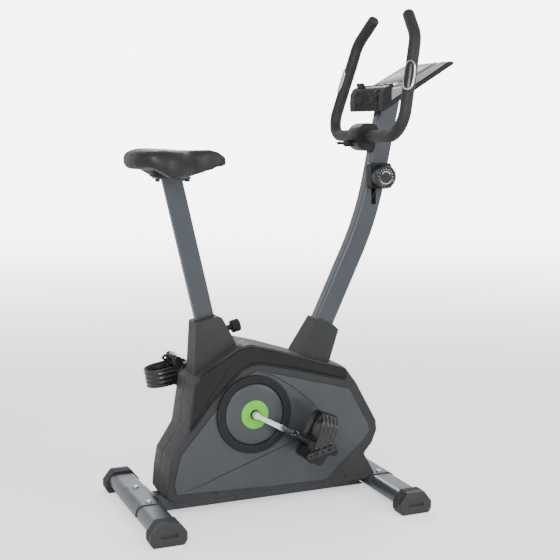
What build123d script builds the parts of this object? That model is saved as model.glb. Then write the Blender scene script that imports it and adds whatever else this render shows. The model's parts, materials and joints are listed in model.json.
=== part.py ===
"""Upright exercise bike: a welded steel frame in a two-part casing, with a belt driven
magnetic flywheel, a sliding saddle post and a tilting handlebar.

Millimetres, +Z up, +X the way the rider faces, +Y to the rider's left. Every X below is
measured from the crank axis; SHIFT_X moves the finished parts so that the origin lies on
the floor under the middle of the bike."""
from build123d import *
from math import cos, sin, radians
import os

os.makedirs("parts", exist_ok=True)

# ---------------------------------------------------------------- driving dimensions
REAR_END = -352  # rearmost point: the rear end caps
FRONT_END = 606  # foremost point: the tip of the console
SHIFT_X = (REAR_END + FRONT_END) / 2

GAP = 0.3  # running clearance between bodies
SKIN = 3  # moulded wall

# Stabilisers
REAR_STAB_X, REAR_STAB_WIDTH = -302, 507
FRONT_STAB_X, FRONT_STAB_WIDTH = 404, 575
STAB_DEPTH, STAB_HEIGHT, STAB_Z = 80, 44, 34
STAB_WALL = 2.5
CAP_DEPTH, CAP_HEIGHT, CAP_LENGTH, CAP_TUCK = 2 * (REAR_STAB_X - REAR_END), 64, 44, 22
SADDLE_PLATE, SADDLE_WIDTH, STAB_BOLT_Y = 3, 168, 66

# Main tube along the floor
BASE_WIDTH, BASE_LOW, BASE_HIGH, TUBE_WALL = 40, 10, 58, 2.5

# Crank and belt drive
CRANK_Z, CRANK_LENGTH, CRANK_ANGLE = 277, 168, 29
AXLE_R, SHELL_R, SHELL_HALF = 10, 21, 34
CRANK_PULLEY_R, BELT_Y, BELT_WIDTH, BELT_THICK = 100, 48, 12, 2
FLY_X, FLY_Z, FLY_R, FLY_THICK = 262, 185, 105, 24
FLY_PULLEY_R, FLY_SHAFT_R = 12.5, 6
ARM_IN, ARM_OUT = 93, 105
SPINDLE_R, PEDAL_IN, PEDAL_OUT = 7, 114, 204

# Seat tube and saddle post, leaning back
SEAT_LEAN, SEAT_FOOT_X = 13.2, -4
SEAT_TUBE, SEAT_TUBE_Y, SEAT_TOP_Z = 66, 36, 525
BUSH_WALL = 3
POST_X, POST_Y, POST_WALL = 54, 24, 2
POST_LOW_Z, SADDLE_PLATE_Z = 365, 930
HOLE_PITCH, HOLE_COUNT = 25, 11

# Handlebar post: straight, a long bend, straight
BAR_POST_X, BAR_POST_Y, BAR_POST_WALL, BAR_POST_BEND = 60, 40, 2.5, 900
LOWER_LEAN, UPPER_LEAN = 25, 11
KNEE_X, KNEE_Z = 384, 814
SOCKET_TOP_Z, BAR_POST_LOW_Z = 485, 420
POST_BOLTS = (437, 466)  # heights of the bolts that hold the post in its socket

# Handlebar
BAR_X, BAR_Z, BAR_TILT = 372, 1045, 13.5
BAR_R, BAR_WALL, GRIP_R = 12.7, 2, 17
BAR_HALF, BAR_RISE, UPPER_HALF, TIP_RISE, TIP_HALF = 222, 280, 171, 352, 97

# Casing
CASE_HALF = 76
PANEL_THICK, RING_THICK, COVER_RISE = 5, 6, 4
RING_OUT, RING_IN, COVER_FLANGE, HUB_DISC_R, HUB_HOLE = 110.5, 87.5, 99.5, 40.5, 13.5

ACROSS = (0, 1, 0)
UP = (Align.CENTER, Align.CENTER, Align.MIN)  # a cylinder or prism that stands on its plane


# ---------------------------------------------------------------- shaping helpers
def at(x, y, z):
    """A point whose X is measured from the crank axis."""
    return Vector(x - SHIFT_X, y, z)


def profile(points, radius=0, y=0):
    """A side-view face through (x, z) points, with one radius on all corners or a list."""
    corners = [at(x, y, z) for x, z in points]
    if radius:
        return make_face(FilletPolyline(*corners, radius=radius, close=True))
    return make_face(Polyline(*corners, close=True))


def slab(points, y_from, y_to, radius=0):
    """A side-view outline given thickness across the bike."""
    return extrude(profile(points, radius, y_from), amount=y_to - y_from, dir=ACROSS)


def rod(x, z, y_from, y_to, radius):
    """A round bar across the bike."""
    low, high = sorted((y_from, y_to))
    bar = Cylinder(radius, high - low, align=(Align.CENTER, Align.CENTER, Align.MIN))
    return Plane(origin=at(x, low, z), z_dir=ACROSS) * bar


def ring(x, z, y_from, y_to, outer, inner):
    """A washer or sleeve across the bike."""
    return rod(x, z, y_from, y_to, outer) - rod(x, z, y_from - 1, y_to + 1, inner)


def both(part):
    """A part and its mirror image on the other side."""
    return [part, mirror(part, about=Plane.XZ)]


def only(shape):
    """The largest solid of a shape, where a cut may leave crumbs."""
    return max(shape.solids(), key=lambda solid: solid.volume)


PARTS = {}


def keep(name, *solids):
    """Records one node: one solid, or a group of separate solids."""
    pieces = [piece for shape in solids for piece in shape.solids()]
    PARTS[name] = pieces[0] if len(pieces) == 1 else Compound(children=pieces)


def lean_plane(x, z, degrees):
    """A plane on a leaning tube's axis: local Z up the tube, local X forwards, local Y left.
    Positive degrees lean forwards."""
    a = radians(degrees)
    return Plane(origin=at(x, 0, z), x_dir=(cos(a), 0, -sin(a)), z_dir=(sin(a), 0, cos(a)))


def tube_run(plane, width, depth, low, high, corner=5):
    """A rounded rectangular bar up a leaning plane, from one height on it to another."""
    face = RectangleRounded(width, depth, corner)
    return plane * (Pos(0, 0, low) * extrude(face, amount=high - low))


def below(z, size=2000):
    """Everything under a height, to trim tubes level."""
    return Pos(0, 0, z - size / 2) * Box(size, size, size)


# ---------------------------------------------------------------- axes that parts share
def seat_axis_x(z):
    """X of the seat tube's axis at a height."""
    return SEAT_FOOT_X - (z - BASE_HIGH) * sin(radians(SEAT_LEAN)) / cos(radians(SEAT_LEAN))


def lower_post_x(z):
    """X of the straight lower stretch of the handlebar post at a height."""
    return KNEE_X + (z - KNEE_Z) * sin(radians(LOWER_LEAN)) / cos(radians(LOWER_LEAN))


def upper_post_x(z):
    """X of the straight upper stretch of the handlebar post at a height."""
    return KNEE_X + (z - KNEE_Z) * sin(radians(UPPER_LEAN)) / cos(radians(UPPER_LEAN))


def seat_up(z):
    """Length up the seat tube's axis, from its foot, at a height."""
    return (z - BASE_HIGH) / cos(radians(SEAT_LEAN))


SEAT = lean_plane(SEAT_FOOT_X, BASE_HIGH, -SEAT_LEAN)
SOCKET = lean_plane(lower_post_x(BASE_HIGH), BASE_HIGH, LOWER_LEAN)
UPPER = lean_plane(KNEE_X, KNEE_Z, UPPER_LEAN)


def socket_up(z):
    """Length up the post socket's axis, from its foot, at a height."""
    return (z - BASE_HIGH) / cos(radians(LOWER_LEAN))


# ---------------------------------------------------------------- base and stabilisers
def stadium(x, grow=0):
    """Side view of a stabiliser tube: flat faced with round ends."""
    return Plane(origin=at(x, 0, STAB_Z), x_dir=(1, 0, 0), z_dir=(0, -1, 0)) * RectangleRounded(
        STAB_DEPTH + 2 * grow, STAB_HEIGHT + 2 * grow, STAB_HEIGHT / 2 + grow - 1
    )


def bar_across(face, half):
    """A side-view face given width both ways from the middle of the bike."""
    return extrude(face, amount=half, both=True)


def bolt_holes(x):
    """The two drillings that bolt a stabiliser under its saddle plate."""
    hole = Cylinder(4.3, 30)
    return [Pos(x - SHIFT_X, side * STAB_BOLT_Y, STAB_Z + 20) * hole for side in (-1, 1)]


def stabiliser(x, width):
    half = width / 2 - CAP_LENGTH + CAP_TUCK
    tube = bar_across(stadium(x), half) - bar_across(stadium(x, -STAB_WALL), half + 1)
    return tube - bolt_holes(x)


def saddle_plate(x):
    """The bent plate welded to the main tube, hugging the upper half of a stabiliser."""
    hoop = bar_across(stadium(x, SADDLE_PLATE), SADDLE_WIDTH / 2)
    hoop -= bar_across(stadium(x), SADDLE_WIDTH)
    return hoop - below(STAB_Z - 6)


def base_tube():
    length = FRONT_STAB_X - REAR_STAB_X
    middle = (FRONT_STAB_X + REAR_STAB_X) / 2
    height = BASE_HIGH - BASE_LOW
    place = Pos(middle - SHIFT_X, 0, (BASE_HIGH + BASE_LOW) / 2)
    tube = place * (Box(length, BASE_WIDTH, height) - Box(length, BASE_WIDTH - 5, height - 5))
    for x in (REAR_STAB_X, FRONT_STAB_X):
        tube -= bar_across(stadium(x, SADDLE_PLATE), BASE_WIDTH)
    tube = only(tube)
    for x in (REAR_STAB_X, FRONT_STAB_X):
        tube += saddle_plate(x) - bolt_holes(x)
    return tube


def carriage_bolt(x, y):
    """A dome headed bolt down through saddle plate and stabiliser, with its nut."""
    seat = STAB_Z + STAB_HEIGHT / 2 + SADDLE_PLATE
    low = STAB_Z + STAB_HEIGHT / 2 - 16
    spot = Pos(x - SHIFT_X, y, 0)
    shank = spot * Pos(0, 0, low) * Cylinder(4, seat - low, align=UP)
    dome = spot * Pos(0, 0, seat) * Cylinder(9, 5, align=UP)
    dome = fillet(dome.edges().group_by(Axis.Z)[-1], 3.5)
    under = STAB_Z + STAB_HEIGHT / 2 - STAB_WALL
    nut = spot * Pos(0, 0, under - 7) * extrude(RegularPolygon(7.5, 6), amount=7)
    return shank + dome + nut


def end_cap(x, width):
    """A moulded foot: it swallows the end of the tube and stands on the floor."""
    outer = width / 2
    inner = outer - CAP_LENGTH
    half, low, shoulder = CAP_DEPTH / 2, 0, 34
    outline = [
        (x - half + 8, low),
        (x - half, 14),
        (x - half, shoulder),
        (x - 26, CAP_HEIGHT),
        (x + 26, CAP_HEIGHT),
        (x + half, shoulder),
        (x + half, 14),
        (x + half - 8, low),
    ]
    cap = slab(outline, inner, outer, radius=7)
    cap = fillet(cap.faces().sort_by(Axis.Y)[-1].edges(), 4)
    pocket = Pos(0, inner - 1, 0) * extrude(stadium(x), amount=-(CAP_TUCK + 1))
    cap -= pocket
    slot = Pos(x - SHIFT_X, outer, CAP_HEIGHT / 2 - 3) * Box(46, 8, 9)
    return only(cap - slot)


def make_base():
    keep("base_tube", base_tube())
    keep("rear_stabiliser", stabiliser(REAR_STAB_X, REAR_STAB_WIDTH))
    keep("front_stabiliser", stabiliser(FRONT_STAB_X, FRONT_STAB_WIDTH))
    bolts = [
        carriage_bolt(x, side * STAB_BOLT_Y)
        for x in (REAR_STAB_X, FRONT_STAB_X)
        for side in (-1, 1)
    ]
    bolts += [post_bolt(z, side) for z in POST_BOLTS for side in (-1, 1)]
    keep("frame_bolts", *bolts)
    for end, x, width in (
        ("rear", REAR_STAB_X, REAR_STAB_WIDTH),
        ("front", FRONT_STAB_X, FRONT_STAB_WIDTH),
    ):
        keep(f"{end}_end_caps", *both(end_cap(x, width)))


# ---------------------------------------------------------------- welded uprights
PIN_Z = 497  # where the height pin crosses the seat tube's axis


def seat_pin_plane():
    """Local Z forwards along the height pin, from the seat tube's axis."""
    a = radians(SEAT_LEAN)
    origin = at(seat_axis_x(PIN_Z), 0, PIN_Z)
    return Plane(origin=origin, x_dir=(0, 1, 0), z_dir=(cos(a), 0, sin(a)))


def pin_run(radius, low, high):
    return seat_pin_plane() * (Pos(0, 0, low) * Cylinder(radius, high - low, align=UP))


def seat_tube():
    top = seat_up(SEAT_TOP_Z)
    tube = tube_run(SEAT, SEAT_TUBE, SEAT_TUBE_Y, -40, top, 7)
    inner_x = POST_X + 2 * (GAP + BUSH_WALL)
    inner_y = POST_Y + 2 * (GAP + BUSH_WALL)
    tube -= below(BASE_HIGH)
    tube += rod(0, CRANK_Z, -SHELL_HALF, SHELL_HALF, SHELL_R)
    tube += slab([(-60, 262), (-60, 292), (-12, 292), (-12, 262)], -14, 14)
    tube -= tube_run(SEAT, inner_x, inner_y, -40, top + 1, 4)
    tube -= rod(0, CRANK_Z, -60, 60, SHELL_R - 3.5)
    tube += pin_run(11, SEAT_TUBE / 2 - 1, 50) - tube_run(SEAT, inner_x, inner_y, 0, top, 4)
    tube -= pin_run(5.4, 20, 60)
    return only(tube)


def bush():
    """The plastic sleeve that the saddle post slides in, with a lip on the tube's end."""
    inner_x, inner_y = POST_X + 2 * GAP, POST_Y + 2 * GAP
    top = seat_up(SEAT_TOP_Z)
    sleeve = tube_run(
        SEAT, inner_x + 2 * BUSH_WALL, inner_y + 2 * BUSH_WALL, top - 120, top, 4
    )
    sleeve += tube_run(SEAT, SEAT_TUBE - 1, SEAT_TUBE_Y - 1, top, top + 3, 6)
    sleeve -= tube_run(SEAT, inner_x, inner_y, top - 130, top + 10, 3)
    sleeve -= pin_run(5.4, 20, 60)
    return only(sleeve)


def bearing_cup():
    return ring(0, CRANK_Z, SHELL_HALF - 14, SHELL_HALF, SHELL_R - 3.5, AXLE_R + 0.2)


def post_socket():
    top = socket_up(SOCKET_TOP_Z)
    inner_x, inner_y = BAR_POST_X + 0.6, BAR_POST_Y + 0.6
    tube = tube_run(SOCKET, inner_x + 5.4, inner_y + 5.4, -60, top, 6)
    tube -= tube_run(SOCKET, inner_x, inner_y, -60, top + 1, 4)
    tube -= below(BASE_HIGH)
    tube -= tube_run(SEAT, SEAT_TUBE, 100, -60, 300, 7)
    cable_slot = Pos(lower_post_x(384) + 33 - SHIFT_X, 0, 384) * Box(30, 12, 38)
    tube -= cable_slot
    for up_z in POST_BOLTS:
        tube -= rod(lower_post_x(up_z), up_z, -60, 60, 4.3)
    return only(tube)


def post_bolt(z, side):
    """A button head bolt from one side, with its thread in the post."""
    face = side * (BAR_POST_Y + 6) / 2
    x = lower_post_x(z)
    bolt = rod(x, z, face - side * 8, face, 4) + rod(x, z, face, face + side * 4, 7)
    return bolt - rod(x, z, face + side * 2, face + side * 5, 2.5)


PLATE_OUTLINE = [
    (70, 150),
    (158, 345),
    (216, 345),
    (222, 312),
    (286, 214),
    (286, 160),
    (240, 156),
]
BRAKE_X, BRAKE_Z = 203, 326  # the magnet bracket's pivot


def flywheel_plate():
    """One of the two plates, welded to the post socket, that carry the flywheel."""
    inner = (BAR_POST_Y + 6) / 2
    plate = slab(PLATE_OUTLINE, inner, inner + 5, radius=6)
    plate -= rod(FLY_X, FLY_Z, 0, 60, 11)
    return only(plate - rod(BRAKE_X, BRAKE_Z, 0, 60, 4))


def make_uprights():
    keep("seat_tube", seat_tube())
    keep("seat_bush", bush())
    keep("post_socket", post_socket())
    keep("flywheel_plates", *both(flywheel_plate()))
    inner = (BAR_POST_Y + 6) / 2
    race = ring(FLY_X, FLY_Z, inner - 1, inner + 6, 11, FLY_SHAFT_R)
    keep("bearings", *both(bearing_cup()), *both(race))


# ---------------------------------------------------------------- saddle post and saddle
def saddle_post():
    low, high = seat_up(POST_LOW_Z), seat_up(SADDLE_PLATE_Z) + 20
    post = tube_run(SEAT, POST_X, POST_Y, low, high, 4)
    post -= tube_run(SEAT, POST_X - 2 * POST_WALL, POST_Y - 2 * POST_WALL, low - 1, high, 2)
    for step in range(-1, HOLE_COUNT):
        spot = Pos(POST_X / 2, 0, seat_up(PIN_Z) + step * HOLE_PITCH)
        post -= SEAT * (spot * (Rot(0, 90, 0) * Cylinder(5.2, 12)))
    post &= below(SADDLE_PLATE_Z)
    x = seat_axis_x(SADDLE_PLATE_Z)
    plate = Pos(x - SHIFT_X, 0, SADDLE_PLATE_Z + 2.5) * Box(96, 62, 5)
    return only(post + fillet(plate.edges().filter_by(Axis.Z), 8))


SADDLE_REAR, SADDLE_NOSE, SADDLE_TOP = -332, -50, 1010


def saddle_outline(shrink=0):
    """Plan view of the saddle: two round haunches and a round nose in one taut outline."""
    haunch, nose = 66, 27
    rear_x = SADDLE_REAR + haunch - SHIFT_X
    nose_x = SADDLE_NOSE - nose - SHIFT_X
    circles = [
        Pos(rear_x, 42) * Circle(haunch - shrink),
        Pos(rear_x, -42) * Circle(haunch - shrink),
        Pos(nose_x, 0) * Circle(nose - shrink),
    ]
    return make_hull([edge for circle in circles for edge in circle.edges()])


def make_saddle():
    keep("seat_post", saddle_post())
    floor_z = SADDLE_PLATE_Z + 5
    pan = Pos(0, 0, floor_z) * extrude(saddle_outline(14), amount=5)
    keep("saddle_pan", pan)
    foam = Pos(0, 0, SADDLE_PLATE_Z) * extrude(saddle_outline(), amount=SADDLE_TOP - SADDLE_PLATE_Z)
    foam = fillet(foam.edges().group_by(Axis.Z)[-1], 24)
    foam = fillet(foam.edges().group_by(Axis.Z)[0], 6)
    foam -= Pos(0, 0, SADDLE_PLATE_Z - 1) * extrude(saddle_outline(14), amount=11)
    keep("saddle", foam)
    x = seat_axis_x(SADDLE_PLATE_Z)
    nuts = []
    for dx, dy in ((-39, 0), (39, 20), (39, -20)):
        spot = Pos(x + dx - SHIFT_X, dy, SADDLE_PLATE_Z - 8)
        nuts.append(spot * extrude(RegularPolygon(7, 6), amount=8))
    keep("saddle_nuts", *nuts)


def make_height_knob():
    """The sprung pin: a fluted knob on a shank that is drawn out along its own axis."""
    tip = POST_X / 2 + 0.5
    shank = pin_run(5, tip, 60) + pin_run(8, 53, 72)
    knob = pin_run(18, 71, 95)
    knob = fillet(knob.edges().filter_by(GeomType.CIRCLE), 2.5)
    for flute in range(10):
        groove = Rot(0, 0, 36 * flute) * Pos(19.5, 0, 70) * Cylinder(3, 30, align=UP)
        knob -= seat_pin_plane() * groove
    keep("height_knob", only(shank + knob))


# ---------------------------------------------------------------- handlebar post
def post_path():
    low_x = lower_post_x(BAR_POST_LOW_Z)
    high_z = 1220
    points = (at(low_x, 0, BAR_POST_LOW_Z), at(KNEE_X, 0, KNEE_Z), at(upper_post_x(high_z), 0, high_z))
    return FilletPolyline(*points, radius=BAR_POST_BEND)


def swept_bar(path, face):
    start = Plane(origin=path @ 0, x_dir=ACROSS, z_dir=path % 0)
    return sweep(start * face, path=path)


CONSOLE_REAR, CONSOLE_LOW = 378, 1112
CONSOLE_SLOPE = 31.5


def console_line(x, lift=0):
    """Height of the console's underside, or of a line parallel to it, at an X."""
    a = radians(CONSOLE_SLOPE)
    return CONSOLE_LOW + (x - CONSOLE_REAR) * sin(a) / cos(a) + lift / cos(a)


def handlebar_post():
    path = post_path()
    post = swept_bar(path, RectangleRounded(BAR_POST_Y, BAR_POST_X, 7))
    inner_y, inner_x = BAR_POST_Y - 2 * BAR_POST_WALL, BAR_POST_X - 2 * BAR_POST_WALL
    post -= swept_bar(path, RectangleRounded(inner_y, inner_x, 4.5))
    over = [(300, console_line(300)), (300, 1400), (700, 1400), (700, console_line(700))]
    post -= slab(over, -60, 60)
    for z in POST_BOLTS:
        post -= rod(lower_post_x(z), z, -60, 60, 4.3)
    post -= Pos(upper_post_x(879) - SHIFT_X, -BAR_POST_Y / 2, 879) * Box(14, 12, 60)
    return only(post + bar_bracket())


def bar_bracket():
    """The half clamp welded to the rear of the post: a block with a seat for the bar."""
    front = upper_post_x(BAR_Z) - BAR_POST_X / 2
    low, high = BAR_Z - 26, BAR_Z + 18
    block = slab([(BAR_X, low), (BAR_X, high), (front + 6, high), (front + 2, low)], -22, 22)
    path = post_path()
    block -= swept_bar(path, RectangleRounded(BAR_POST_Y + 20, BAR_POST_X - 4, 5))
    block -= rod(BAR_X, BAR_Z, -40, 40, BAR_R + 0.3)
    return block - screw_hole(3.4)


SCREW_Z = BAR_Z - BAR_R - 8


def screw_hole(radius):
    spot = Pos(BAR_X - SHIFT_X, 0, SCREW_Z) * Rot(0, 90, 0)
    return spot * Cylinder(radius, 60)


def clamp_cap():
    """The loose half clamp, hooked over the bar and drawn up by the wing screw."""
    hoop = rod(BAR_X, BAR_Z, -22, 22, BAR_R + 6) + slab(
        [(BAR_X - 12, BAR_Z - 26), (BAR_X - 12, BAR_Z), (BAR_X, BAR_Z), (BAR_X, BAR_Z - 26)], -22, 22
    )
    hoop -= rod(BAR_X, BAR_Z, -40, 40, BAR_R + 0.3)
    hoop -= Pos(BAR_X + 50.4 - 0.8 - SHIFT_X, 0, BAR_Z) * Box(100, 100, 200)
    return only(hoop - screw_hole(3.4))


def clamp_cover():
    """The moulded cover round the clamp, open at the post and holed for the bar."""
    outer, wall, half = 40, 2.5, 31
    shell = rod(BAR_X, BAR_Z - 3, -half, half, outer)
    shell -= rod(BAR_X, BAR_Z - 3, -half + wall, half - wall, outer - wall)
    shell -= rod(BAR_X, BAR_Z, -60, 60, GRIP_R + 2)
    shell -= swept_bar(post_path(), RectangleRounded(70, BAR_POST_X + 0.4, 5))
    front = upper_post_x(BAR_Z)
    shell -= Pos(front + 60 - SHIFT_X, 0, BAR_Z) * Box(120, 100, 200)
    shell -= Pos(BAR_X - 50 - SHIFT_X, 0, SCREW_Z) * (Rot(0, 90, 0) * Cylinder(7, 60))
    return only(shell)


def wing_knob():
    """The wing screw: a threaded shank with two flat wings on a hub."""
    turn = Pos(BAR_X - SHIFT_X, 0, SCREW_Z) * Rot(0, -90, 0)
    shank = turn * Pos(0, 0, -18) * Cylinder(3, 60, align=UP)
    hub = turn * Pos(0, 0, 41) * Cylinder(10, 22, align=UP)
    wings = turn * Pos(0, 0, 52) * Box(8, 58, 26, align=UP)
    return shank + hub + fillet(wings.edges().filter_by(Axis.X), 3.9)


def bar_plane():
    a = radians(BAR_TILT)
    return Plane(origin=at(BAR_X, 0, BAR_Z), x_dir=(0, 1, 0), z_dir=(cos(a), 0, -sin(a)))


def bar_points(side, start, tip_trim=0):
    """The handlebar's centre line on one side, in its own plane: across, then up."""
    lean = (TIP_HALF - UPPER_HALF, TIP_RISE - BAR_RISE)
    share = 1 - tip_trim
    tip = (UPPER_HALF + lean[0] * share, BAR_RISE + lean[1] * share)
    flat = [(start, 0), (BAR_HALF, 0), (UPPER_HALF, BAR_RISE), tip]
    a = radians(BAR_TILT)
    return [at(BAR_X + up * sin(a), side * across, BAR_Z + up * cos(a)) for across, up in flat]


def bar_path(side, start, tip_trim=0):
    return FilletPolyline(*bar_points(side, start, tip_trim), radius=[62, 70])


def pipe(path, outer, inner=0):
    start = Plane(origin=path @ 0, x_dir=(0, 0, 1), z_dir=path % 0)
    solid = sweep(start * Circle(outer), path=path)
    if inner:
        solid -= sweep(start * Circle(inner), path=path)
    return solid


def make_handlebar():
    right = bar_points(-1, 0, 0.05)[:0:-1]
    left = bar_points(1, 0, 0.05)[1:]
    path = FilletPolyline(*right, *left, radius=[70, 62, 62, 70])
    keep("handlebar_tube", pipe(path, BAR_R, BAR_R - BAR_WALL))
    for name, side in (("left", 1), ("right", -1)):
        long = bar_path(side, 36)
        foam = pipe(long, GRIP_R)
        tip_edge = foam.edges().filter_by(GeomType.CIRCLE).sort_by_distance(long @ 1)[0]
        foam = fillet(tip_edge, 8)
        foam -= pipe(bar_path(side, 30, 0.05), BAR_R)
        keep(f"{name}_grip", only(foam))
    keep("pulse_sensors", pulse_sensor(1), pulse_sensor(-1))


SENSOR_UP, SENSOR_LONG, SENSOR_TURN = 165, 84, 45


def pulse_sensor(side):
    """The contact plates' shell under the rider's palm, on the outer rear side of a grip."""
    a = radians(BAR_TILT)
    slant = (UPPER_HALF - BAR_HALF) / BAR_RISE
    across = BAR_HALF + slant * SENSOR_UP
    origin = at(BAR_X + SENSOR_UP * sin(a), side * across, BAR_Z + SENSOR_UP * cos(a))
    along = Vector(sin(a), side * slant, cos(a))
    frame = Plane(origin=origin, x_dir=(-cos(a), 0, sin(a)), z_dir=along)
    shell = Cylinder(GRIP_R + 2.2, SENSOR_LONG) - Cylinder(GRIP_R + 0.05, SENSOR_LONG + 2)
    shell &= Pos(15, 0, 0) * Box(26, 60, SENSOR_LONG)
    return frame * (Rot(0, 0, -side * SENSOR_TURN) * shell)


def make_bar_post():
    keep("handlebar_post", handlebar_post())
    keep("clamp_cap", clamp_cap())
    keep("clamp_cover", clamp_cover())
    keep("wing_screw", wing_knob())
    make_handlebar()


# ---------------------------------------------------------------- tension control
DIAL_Z = 930
DIAL_X = upper_post_x(DIAL_Z)
HOUSING_OUT, DIAL_OUT, DIAL_R = 50, 76, 35


def tension_housing():
    side = BAR_POST_Y / 2
    outline = [(DIAL_X - 34, 896), (DIAL_X - 36, 968), (DIAL_X + 30, 968), (DIAL_X + 34, 896)]
    box = slab(outline, -HOUSING_OUT, -side, radius=9)
    box -= rod(DIAL_X, DIAL_Z, -HOUSING_OUT + 3, -side - 4, 26)
    box -= rod(DIAL_X, DIAL_Z, -HOUSING_OUT - 1, -side - 4, 8.3)
    box -= Pos(DIAL_X - 5 - SHIFT_X, -29, 898) * Box(14, 18, 26)
    return only(box)


def tension_dial():
    dial = rod(DIAL_X, DIAL_Z, -DIAL_OUT, -HOUSING_OUT - 0.5, DIAL_R)
    dial = fillet(dial.faces().sort_by(Axis.Y)[0].edges(), 5)
    for flute in range(24):
        a = radians(15 * flute)
        x, z = DIAL_X + (DIAL_R + 1) * cos(a), DIAL_Z + (DIAL_R + 1) * sin(a)
        dial -= rod(x, z, -DIAL_OUT + 6, -HOUSING_OUT, 2.4)
    hub = rod(DIAL_X, DIAL_Z, -HOUSING_OUT - 1, -BAR_POST_Y / 2 - 5, 8)
    return only(dial + hub)


CABLE_R = 2.5
CABLE_ROUTE = [
    (402, -34, 912),
    (400, -27, 892),
    (394, -8, 858),
    (378, 0, 800),
    (340, 0, 720),
    (280, 0, 591),
    (232, 0, 488),
    (213, 0, 430),
    (222, 0, 388),
    (247, 0, 360),
    (262, 0, 328),
]


def tension_cable():
    """The cable's sheath, from the dial down inside the post to the magnet bracket."""
    points = [at(x, y, z) for x, y, z in CABLE_ROUTE]
    radii = []
    for before, here, after in zip(points, points[1:], points[2:]):
        turn = (here - before).get_angle(after - here)
        run = min((here - before).length, (after - here).length)
        half = radians(turn) / 2
        radii.append(0.45 * run * cos(half) / sin(half))
    return pipe(FilletPolyline(*points, radius=radii), CABLE_R)


def make_tension():
    keep("tension_housing", tension_housing())
    keep("tension_dial", tension_dial())
    keep("tension_cable", tension_cable())


# ---------------------------------------------------------------- console
CONSOLE_HALF = 104
DISPLAY_LOW_X, DISPLAY_HIGH_X, DISPLAY_LOW_Z, DISPLAY_HIGH_Z = 426, 562, 1179, 1255


def console_outline():
    tip = FRONT_END
    return [
        (CONSOLE_REAR, CONSOLE_LOW),
        (tip, console_line(tip)),
        (tip - 5, console_line(tip) + 7),
        (DISPLAY_HIGH_X, DISPLAY_HIGH_Z),
        (DISPLAY_LOW_X, DISPLAY_LOW_Z),
        (410, 1177),
        (400, 1187),
        (386, 1180),
        (377, 1155),
    ]


def console_cavity():
    inset = profile(console_outline())
    inset = offset(inset, amount=-SKIN, kind=Kind.INTERSECTION)
    return bar_across(inset, CONSOLE_HALF - SKIN)


def console_whole():
    return bar_across(profile(console_outline()), CONSOLE_HALF)


def console_lower_zone():
    """The dark lower tray and the louvred end that faces the rider."""
    lift = 14
    zone = [
        (340, 1080),
        (660, console_line(660) - 60),
        (660, console_line(660, lift)),
        (402, console_line(402, lift)),
        (404, 1200),
        (340, 1200),
    ]
    return slab(zone, -150, 150)


def console_tray():
    tray = console_whole() & console_lower_zone()
    tray -= console_cavity()
    for row in range(7):
        z = 1122 + 8 * row
        tray -= Pos(376 - SHIFT_X, 0, z) * Box(8, 150, 3)
    x, z = upper_post_x(1150), 1150
    tray -= Pos(x - SHIFT_X, 0, z + 6) * Box(24, 12, 40)
    return only(tray)


def display_plane():
    rise, run = DISPLAY_HIGH_Z - DISPLAY_LOW_Z, DISPLAY_HIGH_X - DISPLAY_LOW_X
    middle = at((DISPLAY_LOW_X + DISPLAY_HIGH_X) / 2, 0, (DISPLAY_LOW_Z + DISPLAY_HIGH_Z) / 2)
    return Plane(origin=middle, x_dir=(0, -1, 0), z_dir=(-rise, 0, run))


BUTTON_SPOTS = {"mode_button": -42, "set_button": 0, "reset_button": 42}
BUTTON_ROW, BUTTON_W, BUTTON_D = -54, 26, 13
LENS_W, LENS_D, LENS_ROW = 150, 100, 14


def console_body():
    body = console_whole() - console_lower_zone()
    body -= console_cavity()
    face = display_plane()
    body -= face * (Pos(0, LENS_ROW, 0) * Box(LENS_W, LENS_D, 5))
    body -= face * (Pos(0, LENS_ROW, 0) * Box(LENS_W - 24, LENS_D - 24, 20))
    for across in BUTTON_SPOTS.values():
        body -= face * (Pos(across, BUTTON_ROW, 0) * Box(BUTTON_W + 1, BUTTON_D + 1, 20))
    return only(body)


def button(across):
    """A key that stands a little proud of the console's face and dips when pressed."""
    cap = Pos(across, BUTTON_ROW, -6) * Box(BUTTON_W, BUTTON_D, 8, align=UP)
    cap = fillet(cap.edges().filter_by(Axis.Z), 4)
    flange = Pos(across, BUTTON_ROW, -7.5) * Box(BUTTON_W + 4, BUTTON_D + 4, 2, align=UP)
    return display_plane() * (cap + flange)


def make_console():
    keep("console_tray", console_tray())
    keep("console_body", console_body())
    lens = Pos(0, LENS_ROW, -2.2) * Box(LENS_W - 0.4, LENS_D - 0.4, 2, align=UP)
    keep("console_lens", display_plane() * lens)
    for name, across in BUTTON_SPOTS.items():
        keep(name, button(across))


# ---------------------------------------------------------------- drive
def crank_end(side):
    """Where a crank's pedal axis is: side +1 is the left crank, up and to the rear."""
    a = radians(CRANK_ANGLE)
    return -side * CRANK_LENGTH * cos(a), CRANK_Z + side * CRANK_LENGTH * sin(a)


def crank_arm(side):
    """A forged arm, slim at the hub, with a groove down its face and an eye at its end."""
    a = CRANK_ANGLE if side > 0 else CRANK_ANGLE + 180
    length = CRANK_LENGTH
    flat = [(0, -6), (0, 6), (length, 9), (length, -9)]
    sketch = make_face(Polyline(*flat, close=True)) + Circle(9) + Pos(length, 0) * Circle(12.5)
    groove = Pos(length / 2 + 4, 0) * RectangleRounded(length - 50, 5, 2)
    thick = ARM_OUT - ARM_IN
    arm = extrude(sketch, amount=thick) - Pos(0, 0, thick - 2) * extrude(groove, amount=5)
    if side > 0:
        place = Plane(origin=at(0, ARM_IN, CRANK_Z), x_dir=(-1, 0, 0), z_dir=(0, 1, 0))
        return place * (Rot(0, 0, CRANK_ANGLE) * arm)
    place = Plane(origin=at(0, -ARM_IN, CRANK_Z), x_dir=(1, 0, 0), z_dir=(0, -1, 0))
    return place * (Rot(0, 0, -CRANK_ANGLE) * arm)


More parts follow.
